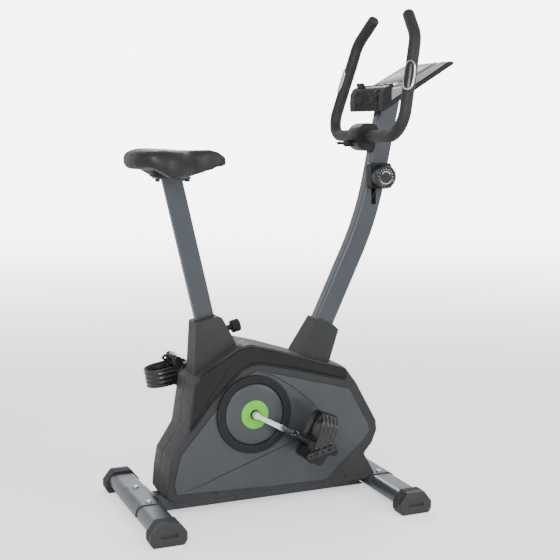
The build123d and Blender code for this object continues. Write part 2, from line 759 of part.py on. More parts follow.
def crank():
    body = rod(0, CRANK_Z, -ARM_IN, ARM_IN, AXLE_R)
    for side in (1, -1):
        body += crank_arm(side)
        x, z = crank_end(side)
        body -= rod(x, z, side * (ARM_IN - 1), side * (ARM_OUT + 1), SPINDLE_R)
    return only(body)


def spindle(side):
    x, z = crank_end(side)
    pin = rod(x, z, side * ARM_IN, side * (PEDAL_OUT - 12), SPINDLE_R)
    return pin + rod(x, z, side * (ARM_OUT + 1), side * (ARM_OUT + 6), 9.5)


def wheel(x, z, y, width, radius, bore, spokes, hub):
    """A grooved belt wheel with round lightening holes."""
    disc = rod(x, z, y - width / 2, y + width / 2, radius)
    if spokes:
        band = (radius - 12 + hub) / 2
        hole = (radius - 12 - hub) / 2 - 3
        for step in range(spokes):
            a = radians(360 * step / spokes)
            disc -= rod(x + band * cos(a), z + band * sin(a), y - width, y + width, hole)
    return disc - rod(x, z, y - width, y + width, bore)


def belt():
    """The endless belt, a hair clear of both wheels."""
    loops = []
    for grow in (GAP, GAP + BELT_THICK):
        big = Pos(0 - SHIFT_X, CRANK_Z) * Circle(CRANK_PULLEY_R + grow)
        small = Pos(FLY_X - SHIFT_X, FLY_Z) * Circle(FLY_PULLEY_R + grow)
        loops.append(make_hull([*big.edges(), *small.edges()]))
    band = extrude(loops[1], amount=BELT_WIDTH) - extrude(loops[0], amount=BELT_WIDTH)
    return Plane(origin=(0, BELT_Y + BELT_WIDTH / 2, 0), x_dir=(1, 0, 0), z_dir=(0, -1, 0)) * band


IDLER_X, IDLER_R, IDLER_PIVOT = 150, 12, (60, 112)


def idler_z():
    """Height at which the idler sits just under the belt's lower run."""
    span = FLY_X
    low_crank, low_fly = CRANK_Z - CRANK_PULLEY_R, FLY_Z - FLY_PULLEY_R
    run = low_crank + (low_fly - low_crank) * IDLER_X / span
    return run - BELT_THICK - IDLER_R - 1.2


def idler_arm():
    inner = (BAR_POST_Y + 6) / 2
    px, pz = IDLER_PIVOT
    iz = idler_z()
    circles = [Pos(px - SHIFT_X, pz) * Circle(12), Pos(IDLER_X - SHIFT_X, iz) * Circle(9)]
    face = make_hull([edge for circle in circles for edge in circle.edges()])
    blade = extrude(face, amount=5)
    blade = Plane(origin=(0, inner + 12, 0), x_dir=(1, 0, 0), z_dir=(0, -1, 0)) * blade
    boss = rod(px, pz, inner, inner + 8, 8)
    stud = rod(IDLER_X, iz, inner + 10, BELT_Y + BELT_WIDTH / 2 + 4, 4)
    return blade + boss + stud


def flywheel():
    disc = rod(FLY_X, FLY_Z, -FLY_THICK / 2, FLY_THICK / 2, FLY_R)
    disc = chamfer(disc.edges().filter_by(GeomType.CIRCLE), 1.5)
    for side in (1, -1):
        disc -= ring(FLY_X, FLY_Z, side * 7, side * 13, FLY_R - 16, 30)
    disc += rod(FLY_X, FLY_Z, -20, 20, 16)
    shaft = rod(FLY_X, FLY_Z, -36, BELT_Y + 12, FLY_SHAFT_R - 0.2)
    return disc + shaft


ARC_FROM, ARC_TO = 55, 104


def arc_sector(inner, outer, start, end):
    """A curved bar about the flywheel's axis, drawn in side view."""
    def spot(radius, degrees):
        a = radians(degrees)
        return at(FLY_X + radius * cos(a), 0, FLY_Z + radius * sin(a))

    middle = (start + end) / 2
    outline = [
        ThreePointArc(spot(inner, start), spot(inner, middle), spot(inner, end)),
        Line(spot(inner, end), spot(outer, end)),
        ThreePointArc(spot(outer, end), spot(outer, middle), spot(outer, start)),
        Line(spot(outer, start), spot(inner, start)),
    ]
    return make_face(outline)


MAGNET_GAP, MAGNET_THICK, BRACKET_THICK, BRACKET_HALF = 2.5, 4, 3, 17


def magnet_bracket():
    inner = FLY_R + MAGNET_GAP + MAGNET_THICK
    band = bar_across(arc_sector(inner, inner + BRACKET_THICK, ARC_FROM, ARC_TO), BRACKET_HALF)
    a = radians(ARC_TO - 4)
    root = (FLY_X + (inner + 1) * cos(a), FLY_Z + (inner + 1) * sin(a))
    cheek = [
        (BRAKE_X - 7, BRAKE_Z - 2),
        (BRAKE_X - 3, BRAKE_Z + 8),
        (BRAKE_X + 8, BRAKE_Z + 6),
        (root[0] + 22, root[1] + 4),
        (root[0] + 2, root[1] - 2),
    ]
    for side in (-1, 1):
        inner_y, outer_y = sorted((side * (BRACKET_HALF - 3), side * BRACKET_HALF))
        band += slab(cheek, inner_y, outer_y)
    band -= rod(FLY_X, FLY_Z, -60, 60, inner - 0.01)
    band += rod(BRAKE_X, BRAKE_Z, -BRACKET_HALF, BRACKET_HALF, 7)
    hook = Pos(FLY_X - 2 - SHIFT_X, 0, FLY_Z + inner + BRACKET_THICK + 3) * Box(8, 10, 9)
    return only(band + hook - rod(BRAKE_X, BRAKE_Z, -60, 60, 4.2))


def magnets():
    """Six block magnets under the bracket, facing the flywheel's rim."""
    inner = FLY_R + MAGNET_GAP
    blocks = []
    for step in range(6):
        start = ARC_FROM + 2 + 7.6 * step
        sector = arc_sector(inner, inner + MAGNET_THICK, start, start + 6.4)
        blocks.append(bar_across(sector, 10))
    return blocks


def make_drive():
    keep("crank", crank())
    keep("pedal_spindles", *[spindle(side) for side in (1, -1)])
    pulley = wheel(0, CRANK_Z, BELT_Y, BELT_WIDTH + 6, CRANK_PULLEY_R, AXLE_R, 6, 22)
    keep("crank_pulley", only(pulley))
    keep("belt", belt())
    keep("flywheel", flywheel())
    small = ring(FLY_X, FLY_Z, BELT_Y - 9, BELT_Y + 9, FLY_PULLEY_R, FLY_SHAFT_R - 0.2)
    keep("flywheel_pulley", small)
    keep("idler_arm", idler_arm())
    half = BELT_WIDTH / 2 + 2
    keep("idler_roller", ring(IDLER_X, idler_z(), BELT_Y - half, BELT_Y + half, IDLER_R, 4.2))
    keep("magnet_bracket", magnet_bracket())
    keep("brake_magnets", *magnets())
    keep("brake_pivot", brake_pivot())


def brake_pivot():
    reach = (BAR_POST_Y + 6) / 2 + 5
    pin = rod(BRAKE_X, BRAKE_Z, -reach, reach, 4)
    for side in (1, -1):
        pin += rod(BRAKE_X, BRAKE_Z, side * reach, side * (reach + 3), 7)
    return pin


# ---------------------------------------------------------------- pedals
PEDAL_REAR, PEDAL_FRONT, PEDAL_LIFT, PEDAL_DROP = -38, 55, 13, 48
STRAP_WIDTH, STRAP_THICK, STRAP_HIGH, STRAP_MIDDLE = 52, 2.5, 96, 6
PEDAL_TILT = {1: -100, -1: 22}  # rest pose about +Y: the left pedal hangs, the right one dips


def pedal_frame(side):
    """Local X forwards, local Z up, on the pedal's own axis, turned to the rest pose."""
    x, z = crank_end(side)
    return Location(at(x, 0, z)) * Rot(0, PEDAL_TILT[side], 0)


def local_slab(points, y_from, y_to, radius=0):
    corners = [Vector(x, y_from, z) for x, z in points]
    if radius:
        line = FilletPolyline(*corners, radius=radius, close=True)
    else:
        line = Polyline(*corners, close=True)
    return extrude(make_face(line), amount=y_to - y_from, dir=ACROSS)


def local_rod(y_from, y_to, radius, x=0, z=0):
    bar = Cylinder(radius, y_to - y_from, align=UP)
    return Plane(origin=(x, y_from, z), z_dir=ACROSS) * bar


def pedal_body():
    outline = [
        (PEDAL_REAR, PEDAL_LIFT),
        (PEDAL_FRONT, PEDAL_LIFT),
        (PEDAL_FRONT, -4),
        (26, -14),
        (16, -PEDAL_DROP),
        (-16, -PEDAL_DROP),
        (-26, -14),
        (PEDAL_REAR, -4),
    ]
    body = local_slab(outline, PEDAL_IN, PEDAL_OUT, radius=4)
    for x in (-26, 30, 43):
        body -= Pos(x, (PEDAL_IN + PEDAL_OUT) / 2, 6) * Box(7, PEDAL_OUT - PEDAL_IN - 24, 40)
    return body - local_rod(PEDAL_IN - 1, PEDAL_OUT - 10, SPINDLE_R + 0.2)


def strap():
    """The foot loop: up the outside, over the shoe and down the inside of the pedal."""
    y_in, y_out = PEDAL_IN - STRAP_THICK, PEDAL_OUT + STRAP_THICK
    middle, half = (y_in + y_out) / 2, (y_out - y_in) / 2
    shoulder = STRAP_HIGH - half

    def arch(reach):
        plane = Plane(origin=(0, middle, 0), x_dir=(0, 1, 0), z_dir=(1, 0, 0))
        leg = Pos(0, (shoulder - 6) / 2) * Rectangle(2 * reach, shoulder + 6)
        return plane * (leg + Pos(0, shoulder) * Circle(reach))

    band = extrude(arch(half), amount=STRAP_WIDTH) - extrude(arch(half - STRAP_THICK), amount=STRAP_WIDTH)
    band = Pos(STRAP_MIDDLE - STRAP_WIDTH / 2, 0, 0) * band
    return only(band - local_rod(PEDAL_IN - 5, PEDAL_IN + 1, 12))


def make_pedals():
    for name, side in (("left", 1), ("right", -1)):
        for part, shape in (("pedal", pedal_body()), ("pedal_strap", strap())):
            if side < 0:
                shape = mirror(shape, about=Plane.XZ)
            keep(f"{name}_{part}", only(pedal_frame(side) * shape))


# ---------------------------------------------------------------- casing
CASE_OUTLINE = [
    (-226, 44),
    (-252, 60),
    (-247, 120),
    (-238, 172),
    (-194, 240),
    (-188, 262),
    (-172, 376),
    (-95, 436),
    (-44, 468),
    (-8, 474),
    (60, 456),
    (286, 384),
    (322, 336),
    (388, 218),
    (391, 190),
    (376, 152),
    (350, 122),
    (356, 112),
    (392, 48),
    (386, 44),
]

TRIM_OUTLINE = [
    (-196, 252),
    (-180, 374),
    (-152, 398),
    (-96, 430),
    (-45, 460),
    (-10, 466),
    (56, 449),
    (278, 380),
    (283, 356),
    (144, 395),
    (28, 422),
    (-10, 423),
    (-40, 408),
    (-126, 327),
    (-182, 257),
]

PANEL_OUTLINE = [
    (-226, 72),
    (-233, 99),
    (-213, 180),
    (-132, 273),
    (-40, 372),
    (9, 399),
    (76, 382),
    (296, 322),
    (358, 214),
    (364, 192),
    (354, 174),
    (225, 60),
    (60, 62),
]


def shell_half():
    """One half of the casing: a hollow moulding that meets the other on the middle plane."""
    outer = slab(CASE_OUTLINE, 0, CASE_HALF, radius=3.5)
    outer = fillet(outer.faces().sort_by(Axis.Y)[-1].edges(), 3)
    inner = offset(profile(CASE_OUTLINE), amount=-SKIN, kind=Kind.INTERSECTION)
    shell = outer - extrude(inner, amount=CASE_HALF - SKIN, dir=ACROSS)
    shell -= rod(0, CRANK_Z, 0, 100, COVER_FLANGE - 5)
    shell -= tube_run(SEAT, SEAT_TUBE + 1, SEAT_TUBE_Y + 1, 200, 600, 7)
    shell -= tube_run(SOCKET, BAR_POST_X + 7, BAR_POST_Y + 7, 200, 700, 7)
    tunnel = Pos(-SHIFT_X + 50, 0, 40) * Box(720, BASE_WIDTH + 0.6, 60)
    shell -= tunnel
    for x in (REAR_STAB_X, FRONT_STAB_X):
        shell -= bar_across(stadium(x, SADDLE_PLATE + GAP), SADDLE_WIDTH)
    return only(shell)


def side_panel():
    circle = rod(0, CRANK_Z, CASE_HALF, CASE_HALF + PANEL_THICK, RING_OUT + 8)
    plate = slab(PANEL_OUTLINE, CASE_HALF, CASE_HALF + PANEL_THICK, radius=6) + circle
    plate -= rod(0, CRANK_Z, 0, 200, COVER_FLANGE + 0.5)
    plate -= slab(TRIM_OUTLINE, 0, 200)
    return only(plate)


def crank_cover():
    low = CASE_HALF
    cover = rod(0, CRANK_Z, low, low + PANEL_THICK, COVER_FLANGE)
    cover += rod(0, CRANK_Z, low, low + PANEL_THICK + COVER_RISE, RING_IN - 0.3)
    cover -= rod(0, CRANK_Z, low - 1, low + PANEL_THICK + COVER_RISE - SKIN, RING_IN - 4)
    return cover - rod(0, CRANK_Z, 0, 200, HUB_HOLE)


def casing_screws():
    """Round head screws that join the halves, at their visible edge."""
    screws = []
    spots = ((-112, 60), (288, 60))
    for x, z in spots:
        head = rod(x, z, CASE_HALF, CASE_HALF + 2.5, 5)
        head = fillet(head.faces().sort_by(Axis.Y)[-1].edges(), 1.5)
        head -= Pos(x - SHIFT_X, CASE_HALF + 2.5, z) * Box(6, 2, 1.2)
        screws += both(only(head))
    return screws


def boot(outline, half_low, half_high, z_low, z_high):
    """A tapering moulded collar, open below, that hides where a tube enters the casing."""
    block = slab(outline, -half_low, half_low, radius=4)
    rise = z_high - z_low
    lean = (half_low - half_high) / rise
    for side in (-1, 1):
        wedge = [
            Vector(-600, side * (half_low + 40), z_low - 200),
            Vector(-600, side * (half_low + lean * 200), z_low - 200),
            Vector(-600, side * (half_high - lean * 100), z_high + 100),
            Vector(-600, side * (half_low + 40), z_high + 100),
        ]
        block -= extrude(make_face(Polyline(*wedge, close=True)), amount=1200, dir=(1, 0, 0))
    return block


SEAT_BOOT = [(-160, 380), (-152, 536), (-88, 551), (-76, 546), (-56, 510), (-20, 440), (-60, 400)]
POST_BOOT = [(140, 400), (158, 432), (215, 526), (262, 507), (280, 490), (246, 398), (230, 380)]


def hollow_boot(outline, half_low, half_high, z_low, z_high):
    outer = boot(outline, half_low, half_high, z_low, z_high)
    shrunk = offset(profile(outline), amount=-2.5, kind=Kind.INTERSECTION)
    core = extrude(shrunk, amount=half_high - 2.5, both=True)
    drop = Pos(0, 0, -12) * core
    shell = outer - core - drop
    shell -= slab(CASE_OUTLINE, -CASE_HALF, CASE_HALF, radius=3.5)
    return shell


def seat_boot():
    shell = hollow_boot(SEAT_BOOT, 36, 32, 400, 550)
    shell -= tube_run(SEAT, POST_X + 2, POST_Y + 2, 300, 700, 5)
    shell -= pin_run(12, 20, 80)
    return only(shell)


def post_boot():
    shell = hollow_boot(POST_BOOT, 46, 34, 400, 525)
    shell -= swept_bar(post_path(), RectangleRounded(BAR_POST_Y + 1, BAR_POST_X + 1, 7))
    shell -= tube_run(SOCKET, BAR_POST_X + 7, BAR_POST_Y + 7, 200, socket_up(SOCKET_TOP_Z) + 1, 7)
    return only(shell)


def make_casing():
    shell = shell_half()
    trim = slab(TRIM_OUTLINE, CASE_HALF, CASE_HALF + 6, radius=3)
    panel = side_panel()
    for name, turn in (("left", False), ("right", True)):
        for part, shape in (("casing", shell), ("trim", trim), ("side_panel", panel)):
            keep(f"{name}_{part}", mirror(shape, about=Plane.XZ) if turn else shape)
    face = CASE_HALF + PANEL_THICK
    keep("cover_rings", *both(ring(0, CRANK_Z, face, face + RING_THICK, RING_OUT, RING_IN)))
    keep("crank_covers", *both(crank_cover()))
    hub_low = face + COVER_RISE
    keep("hub_discs", *both(ring(0, CRANK_Z, hub_low, hub_low + 4, HUB_DISC_R, HUB_HOLE)))
    keep("casing_screws", *casing_screws())
    keep("seat_boot", seat_boot())
    keep("post_boot", post_boot())


# ---------------------------------------------------------------- build and write
make_base()
make_uprights()
make_saddle()
make_height_knob()
make_bar_post()
make_tension()
make_console()
make_drive()
make_pedals()
make_casing()

for node, shape in PARTS.items():
    export_step(shape, f"parts/{node}.step")
print(len(PARTS), "nodes")
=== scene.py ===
"""Looks for the upright exercise bike: finishes for the frame's parts, and mesh work for what shows."""
import bpy
import bmesh
import json
import math
from math import cos, sin, pi, radians
from mathutils import Matrix, Vector, noise


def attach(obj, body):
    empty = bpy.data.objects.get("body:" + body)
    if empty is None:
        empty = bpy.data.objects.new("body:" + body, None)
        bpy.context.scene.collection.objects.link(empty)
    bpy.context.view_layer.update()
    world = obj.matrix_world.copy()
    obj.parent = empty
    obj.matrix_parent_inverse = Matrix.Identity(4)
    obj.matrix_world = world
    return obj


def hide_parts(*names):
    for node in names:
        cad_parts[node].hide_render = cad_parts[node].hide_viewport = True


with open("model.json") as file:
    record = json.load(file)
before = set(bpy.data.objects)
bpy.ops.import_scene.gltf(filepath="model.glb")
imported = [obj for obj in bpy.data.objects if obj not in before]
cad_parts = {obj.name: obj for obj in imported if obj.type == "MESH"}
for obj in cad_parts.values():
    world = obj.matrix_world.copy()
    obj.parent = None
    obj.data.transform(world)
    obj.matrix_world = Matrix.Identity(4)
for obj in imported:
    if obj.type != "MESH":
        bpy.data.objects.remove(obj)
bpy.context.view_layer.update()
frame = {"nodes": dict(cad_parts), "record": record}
NODES = frame["nodes"]

# ---------------------------------------------- driving dimensions, mm from the crank axis
SHIFT_X = 127
CRANK_Z = 277
BAR_X, BAR_Z, BAR_TILT = 372, 1045, 13.5
BAR_HALF, BAR_RISE, UPPER_HALF, TIP_RISE, TIP_HALF = 222, 280, 171, 352, 97
GRIP_R, GRIP_TIP = 17, 9
SADDLE_REAR, SADDLE_NOSE = -332, -50
SIDES = (("left", 1), ("right", -1))


def P(x, y, z):
    """A point given in mm from the crank axis, in the row frame's metres."""
    return Vector(((x - SHIFT_X) / 1000, y / 1000, z / 1000))


# ------------------------------------------------------------------ finishes
def new_tree(name):
    """A material with one Principled shader and nothing wired to it yet."""
    mat = bpy.data.materials.new(name)
    mat.use_nodes = True
    nodes = mat.node_tree.nodes
    nodes.clear()
    out = nodes.new("ShaderNodeOutputMaterial")
    shader = nodes.new("ShaderNodeBsdfPrincipled")
    mat.node_tree.links.new(shader.outputs[0], out.inputs[0])
    return mat, nodes, mat.node_tree.links, shader


def coords(nodes, links, scale, kind="noise", detail=4.0, rough=0.6):
    """A procedural texture on object coordinates, scale in features per metre."""
    where = nodes.new("ShaderNodeTexCoord")
    if kind == "noise":
        tex = nodes.new("ShaderNodeTexNoise")
        tex.inputs["Detail"].default_value = detail
        tex.inputs["Roughness"].default_value = rough
        fac = tex.outputs["Fac"]
    else:
        tex = nodes.new("ShaderNodeTexVoronoi")
        tex.feature = "DISTANCE_TO_EDGE" if kind == "cells" else "F1"
        fac = tex.outputs["Distance"]
    tex.inputs["Scale"].default_value = scale
    links.new(where.outputs["Object"], tex.inputs["Vector"])
    return fac


def ramp(nodes, links, fac, low, high, at=(0.3, 0.7)):
    """Two colours (or greys) blended by a texture."""
    blend = nodes.new("ShaderNodeValToRGB")
    for element, place, value in zip(blend.color_ramp.elements, at, (low, high)):
        element.position = place
        element.color = (*value, 1) if isinstance(value, tuple) else (value, value, value, 1)
    links.new(fac, blend.inputs[0])
    return blend.outputs[0]


def finish(name, colour, rough, grain=None, metal=0.0, vary=0.12, cloud=9, spread=0.08,
           coat=0.0, coat_rough=0.1, sheen=0.0, specular=0.5, round_edges=0.0):
    """A moulded, painted or plated surface: uneven colour and gloss, a fine grain, softened edges.

    grain is (features per metre, bump strength, bump height in mm) and, if not noise, its kind;
    round_edges is the radius in mm over which the shading rounds the edges off.
    """
    mat, nodes, links, shader = new_tree(name)
    dark = tuple(c * (1 - vary) for c in colour)
    light = tuple(min(1.0, c * (1 + vary)) for c in colour)
    tint = ramp(nodes, links, coords(nodes, links, cloud), dark, light)
    links.new(tint, shader.inputs["Base Color"])
    gloss = ramp(nodes, links, coords(nodes, links, cloud * 6, detail=6), rough - spread, rough + spread)
    links.new(gloss, shader.inputs["Roughness"])
    shader.inputs["Metallic"].default_value = metal
    shader.inputs["Specular IOR Level"].default_value = specular
    shader.inputs["Coat Weight"].default_value = coat
    shader.inputs["Coat Roughness"].default_value = coat_rough
    shader.inputs["Sheen Weight"].default_value = sheen
    normal = None
    if round_edges:
        bevel = nodes.new("ShaderNodeBevel")
        bevel.samples = 4
        bevel.inputs["Radius"].default_value = round_edges / 1000
        normal = bevel.outputs[0]
    if grain:
        scale, strength, height, *kind = grain
        bump = nodes.new("ShaderNodeBump")
        bump.inputs["Strength"].default_value = strength
        bump.inputs["Distance"].default_value = height / 1000
        links.new(coords(nodes, links, scale, *kind), bump.inputs["Height"])
        if normal:
            links.new(normal, bump.inputs["Normal"])
        normal = bump.outputs[0]
    if normal:
        links.new(normal, shader.inputs["Normal"])
    return mat


FRAME_GREY = (0.06, 0.068, 0.077)
SILVER_GREY = (0.085, 0.092, 0.108)
PAINT = dict(metal=0.55, vary=0.08, cloud=5, spread=0.05, coat=0.35, coat_rough=0.22)
LOOKS = {
    "frame_grey": dict(colour=FRAME_GREY, rough=0.34, grain=(2600, 0.12, 0.05), round_edges=3.0, **PAINT),
    "stabiliser_silver": dict(colour=SILVER_GREY, rough=0.36, grain=(2600, 0.12, 0.05), **PAINT),
    "black_plastic": dict(colour=(0.0135, 0.0137, 0.0144), rough=0.42, grain=(1700, 0.3, 0.08),
                          vary=0.15, specular=0.22, round_edges=1.0),
    "charcoal_plastic": dict(colour=(0.041, 0.0413, 0.042), rough=0.42, grain=(1500, 0.3, 0.08),
                             vary=0.1, specular=0.11, round_edges=1.5),
    "panel_grey": dict(colour=(0.045, 0.052, 0.057), rough=0.38, grain=(2400, 0.16, 0.05), metal=0.25,
                       vary=0.06, coat=0.2, coat_rough=0.25, round_edges=1.0),
    "cap_grey": dict(colour=(0.022, 0.022, 0.024), rough=0.5, grain=(1300, 0.4, 0.1), round_edges=1.2),
    "green_accent": dict(colour=(0.11, 0.52, 0.015), rough=0.35, grain=(2000, 0.15, 0.05), vary=0.06,
                         coat=0.3),
    "chrome_steel": dict(colour=(0.78, 0.79, 0.8), rough=0.12, grain=(900, 0.06, 0.02), metal=1.0,
                         vary=0.04, spread=0.04, cloud=14, round_edges=0.8),
    "zinc_steel": dict(colour=(0.5, 0.51, 0.52), rough=0.34, grain=(900, 0.2, 0.03), metal=1.0,
                       cloud=40, round_edges=0.5),
    "cast_iron": dict(colour=(0.16, 0.155, 0.15), rough=0.5, grain=(700, 0.4, 0.1), metal=0.9,
                      vary=0.2, cloud=30),
    "foam": dict(colour=(0.008, 0.0079, 0.0077), rough=0.6, grain=(1500, 0.5, 0.25, "spots"),
                 vary=0.14, cloud=30, spread=0.06, sheen=0.05),
    "saddle_cover": dict(colour=(0.0105, 0.0105, 0.011), rough=0.45, grain=(900, 0.42, 0.22, "cells"),
                         vary=0.16, cloud=12, spread=0.07, specular=0.42),
    "belt_rubber": dict(colour=(0.02, 0.02, 0.02), rough=0.7, grain=(900, 0.3, 0.1), vary=0.15),
    "silver_plastic": dict(colour=(0.22, 0.24, 0.26), rough=0.36, grain=(2400, 0.15, 0.05), metal=0.5,
                           vary=0.06, coat=0.25, coat_rough=0.2, round_edges=1.2),
    "strap": dict(colour=(0.006, 0.006, 0.0065), rough=0.3, grain=(900, 0.18, 0.06), vary=0.15,
                  cloud=30, coat=0.2),
    "overlay": dict(colour=(0.13, 0.112, 0.088), rough=0.5, grain=(2600, 0.08, 0.03), vary=0.05,
                    cloud=12, specular=0.02),
    "dial_gloss": dict(colour=(0.014, 0.014, 0.015), rough=0.3, grain=(1700, 0.2, 0.05)),
    "print_white": dict(colour=(0.7, 0.7, 0.68), rough=0.5, grain=(1500, 0.1, 0.03), vary=0.05),
    # A near-black finish that paints shade: for sheets and fillers set under the trim band and in holes,
    # creases, recesses, vents and hollows.
    "painted_shade": dict(colour=(0.004, 0.004, 0.004), rough=0.8, grain=(900, 0.2, 0.05), vary=0.2),
    "lens": dict(colour=(0.05, 0.05, 0.042), rough=0.3, vary=0.1, spread=0.03, specular=0.04),
}
FINISH = {name: finish(name, **look) for name, look in LOOKS.items()}
# base_tube takes the darker frame grey as painted shade, where it runs under the casing.
# casing_screws take the near-black dial finish as painted shade of the recesses they sit in.
NODE_LOOKS = {"base_tube": "frame_grey", "casing_screws": "dial_gloss", "saddle_nuts": "dial_gloss",
              "seat_boot": "charcoal_plastic", "post_boot": "charcoal_plastic"}


def dress(obj, mat):
    """Gives a piece its material."""
    obj.data.materials.clear()
    obj.data.materials.append(mat)


for entry in frame["record"]["subparts"]:
    node = NODES[entry["node"]]
    node.data.materials.clear()
    look = NODE_LOOKS.get(entry["node"], entry["material_slot"])
    node.data.materials.append(FINISH[look])


# ------------------------------------------------------------------ mesh helpers
def bare(name, verts, faces):
    """A smooth-shaded mesh object in the scene."""
    mesh = bpy.data.meshes.new(name)
    mesh.from_pydata([tuple(v) for v in verts], [], faces)
    mesh.validate()
    for poly in mesh.polygons:
        poly.use_smooth = True
    obj = bpy.data.objects.new(name, mesh)
    bpy.context.scene.collection.objects.link(obj)
    return obj


def closed(name, verts, faces):
    """A closed shape, with its faces all turned outwards."""
    obj = bare(name, verts, faces)
    fix = bmesh.new()
    fix.from_mesh(obj.data)
    bmesh.ops.recalc_face_normals(fix, faces=fix.faces)
    fix.to_mesh(obj.data)
    fix.free()
    return obj


def make(name, verts, faces, body, slot, replaces=(), mat=None):
    """A piece that rides on a body, in its record slot's finish unless another is given."""
    obj = closed(name, verts, faces)
    dress(obj, mat or FINISH[slot])
    if body:
        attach(obj, body)
    if replaces:
        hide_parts(*replaces)
    return obj


def circle(x, z, radius, count):
    """Evenly spaced points round a circle."""
    turns = [2 * pi * i / count for i in range(count)]
    return [(x + radius * cos(a), z + radius * sin(a)) for a in turns]


def quads(levels, count):
    """The faces of a wall between closed rings of count points each."""
    faces = []
    for r in range(levels - 1):
        for i in range(count):
            j = (i + 1) % count
            faces.append((r * count + i, r * count + j, (r + 1) * count + j, (r + 1) * count + i))
    return faces


def loft(rings, cap_low=True, cap_high=True):
    """A wall through closed rings of equal length, closed by a fan at each end if asked."""
    verts = [v for ring in rings for v in ring]
    count = len(rings[0])
    faces = quads(len(rings), count)
    for wanted, ring, base in ((cap_low, rings[0], 0), (cap_high, rings[-1], (len(rings) - 1) * count)):
        if wanted:
            verts.append(sum(ring, Vector()) / count)
            middle = len(verts) - 1
            faces += [(base + i, base + (i + 1) % count, middle) for i in range(count)]
    return verts, faces


def filleted(points, radii, step=7.0):
    """A path through corner points with round bends, sampled about every step millimetres."""
    path = [points[0]]
    for before, here, after, radius in zip(points, points[1:], points[2:], radii):
        a, b = (before - here).normalized(), (after - here).normalized()
        half = a.angle(b) / 2
        reach = radius / math.tan(half)
        centre = here + (a + b).normalized() * (radius / sin(half))
        start, end = here + a * reach, here + b * reach
        turn = (start - centre).angle(end - centre)
        count = max(2, int(turn * radius / step))
        axis = (start - centre).cross(end - centre).normalized()
        for i in range(count + 1):
            path.append(centre + Matrix.Rotation(turn * i / count, 3, axis) @ (start - centre))
    path.append(points[-1])
    dense = [path[0]]
    for a, b in zip(path, path[1:]):
        count = max(1, round((b - a).length / step))
        dense += [a.lerp(b, i / count) for i in range(1, count + 1)]
    return dense


def frames_along(path):
    """Tangent, side and up at each path point, carried along without twist."""
    tangents = []
    for i in range(len(path)):
        a, b = path[max(0, i - 1)], path[min(len(path) - 1, i + 1)]
        tangents.append((b - a).normalized())
    up = Vector((1, 0, 0)) if abs(tangents[0].x) < 0.8 else Vector((0, 0, 1))
    made = []
    for tangent in tangents:
        side = tangent.cross(up).normalized()
        up = side.cross(tangent).normalized()
        made.append((tangent, side, up))
    return made


def tube_rings(path, radius_at, count=28):
    """Rings of a swept tube whose radius depends on the share of the length."""
    lengths = [0.0]
    for a, b in zip(path, path[1:]):
        lengths.append(lengths[-1] + (b - a).length)
    rings = []
    for point, (tangent, side, up), run in zip(path, frames_along(path), lengths):
        radius = radius_at(run, lengths[-1])
        rings.append([point + (side * cos(2 * pi * i / count) + up * sin(2 * pi * i / count)) * radius
                      for i in range(count)])
    return rings


# ------------------------------------------------------------------ casing
# Outlines are (x, z) points in side view; heights of plates are distances from the middle plane.
CASE_HALF = 76
CASE_OUTLINE = [(-226, 44), (-252, 60), (-247, 120), (-238, 172), (-194, 240), (-188, 262), (-172, 376),
                (-95, 436), (-44, 468), (-8, 474), (60, 456), (286, 384), (322, 336), (388, 218),
                (391, 190), (376, 152), (350, 122), (356, 112), (392, 48), (386, 44)]
TRIM_OUTLINE = [(-196, 252), (-180, 374), (-152, 398), (-96, 430), (-45, 460), (-10, 466), (56, 449),
                (278, 380), (283, 356), (144, 395), (28, 422), (-10, 423), (-40, 408), (-126, 327),
                (-182, 257)]
PANEL_OUTLINE = [(-226, 72), (-233, 99), (-213, 180), (-132, 273), (-40, 372), (9, 399), (76, 382),
                 (296, 322), (358, 214), (364, 192), (354, 174), (225, 60), (60, 62)]
RING_OUT, RING_IN, HUB_DISC_R, HUB_HOLE = 110.5, 87.5, 40.5, 13.5
CROWN = 3.2
PLATE_SEAT, SHADOW_FACE, PANEL_FACE, TRIM_FACE = 75, 76.6, 79.2, 82
STRAIGHT = 1e-3


def rounded(points, radius, step=3.0):
    """A closed (x, z) outline with its corners rounded as far as the edges allow."""
    points = [Vector(p) for p in points]
    out = []
    for i, here in enumerate(points):
        before, after = points[i - 1], points[(i + 1) % len(points)]
        a, b = (before - here), (after - here)
        room = 0.42 * min(a.length, b.length)
        a.normalize()
        b.normalize()
        half = a.angle(b) / 2
        if half >= pi / 2 - STRAIGHT:
            out.append(here)
            continue
        reach = min(radius / math.tan(half), room)
        bend = reach * math.tan(half)
        centre = here + (a + b).normalized() * (bend / sin(half))
        start, end = here + a * reach - centre, here + b * reach - centre
        turn = start.angle_signed(end)
        count = max(2, int(abs(turn) * bend / step))
        for k in range(count + 1):
            out.append(centre + Matrix.Rotation(-turn * k / count, 2) @ start)
    return out


def dense_edges(outline, step):
    """Points added along the long straight edges of an outline."""
    out = []
    for a, b in zip(outline, outline[1:] + outline[:1]):
        count = max(1, int((b - a).length / step))
        out += [a.lerp(b, i / count) for i in range(count)]
    return out


def shrunk(outline, amount):
    """The outline moved inwards by an amount, or outwards if it is negative."""
    area = sum(a.x * b.y - b.x * a.y for a, b in zip(outline, outline[1:] + outline[:1]))
    way = 1 if area > 0 else -1
    out = []
    for i, here in enumerate(outline):
        before, after = outline[i - 1], outline[(i + 1) % len(outline)]
        a, b = (here - before).normalized(), (after - here).normalized()
        normal = Vector((-(a.y + b.y), a.x + b.x)) * way
        normal.normalize()
        lean = max(0.5, normal.dot(Vector((-a.y, a.x)) * way))
        out.append(here + normal * (amount / lean))
    return out


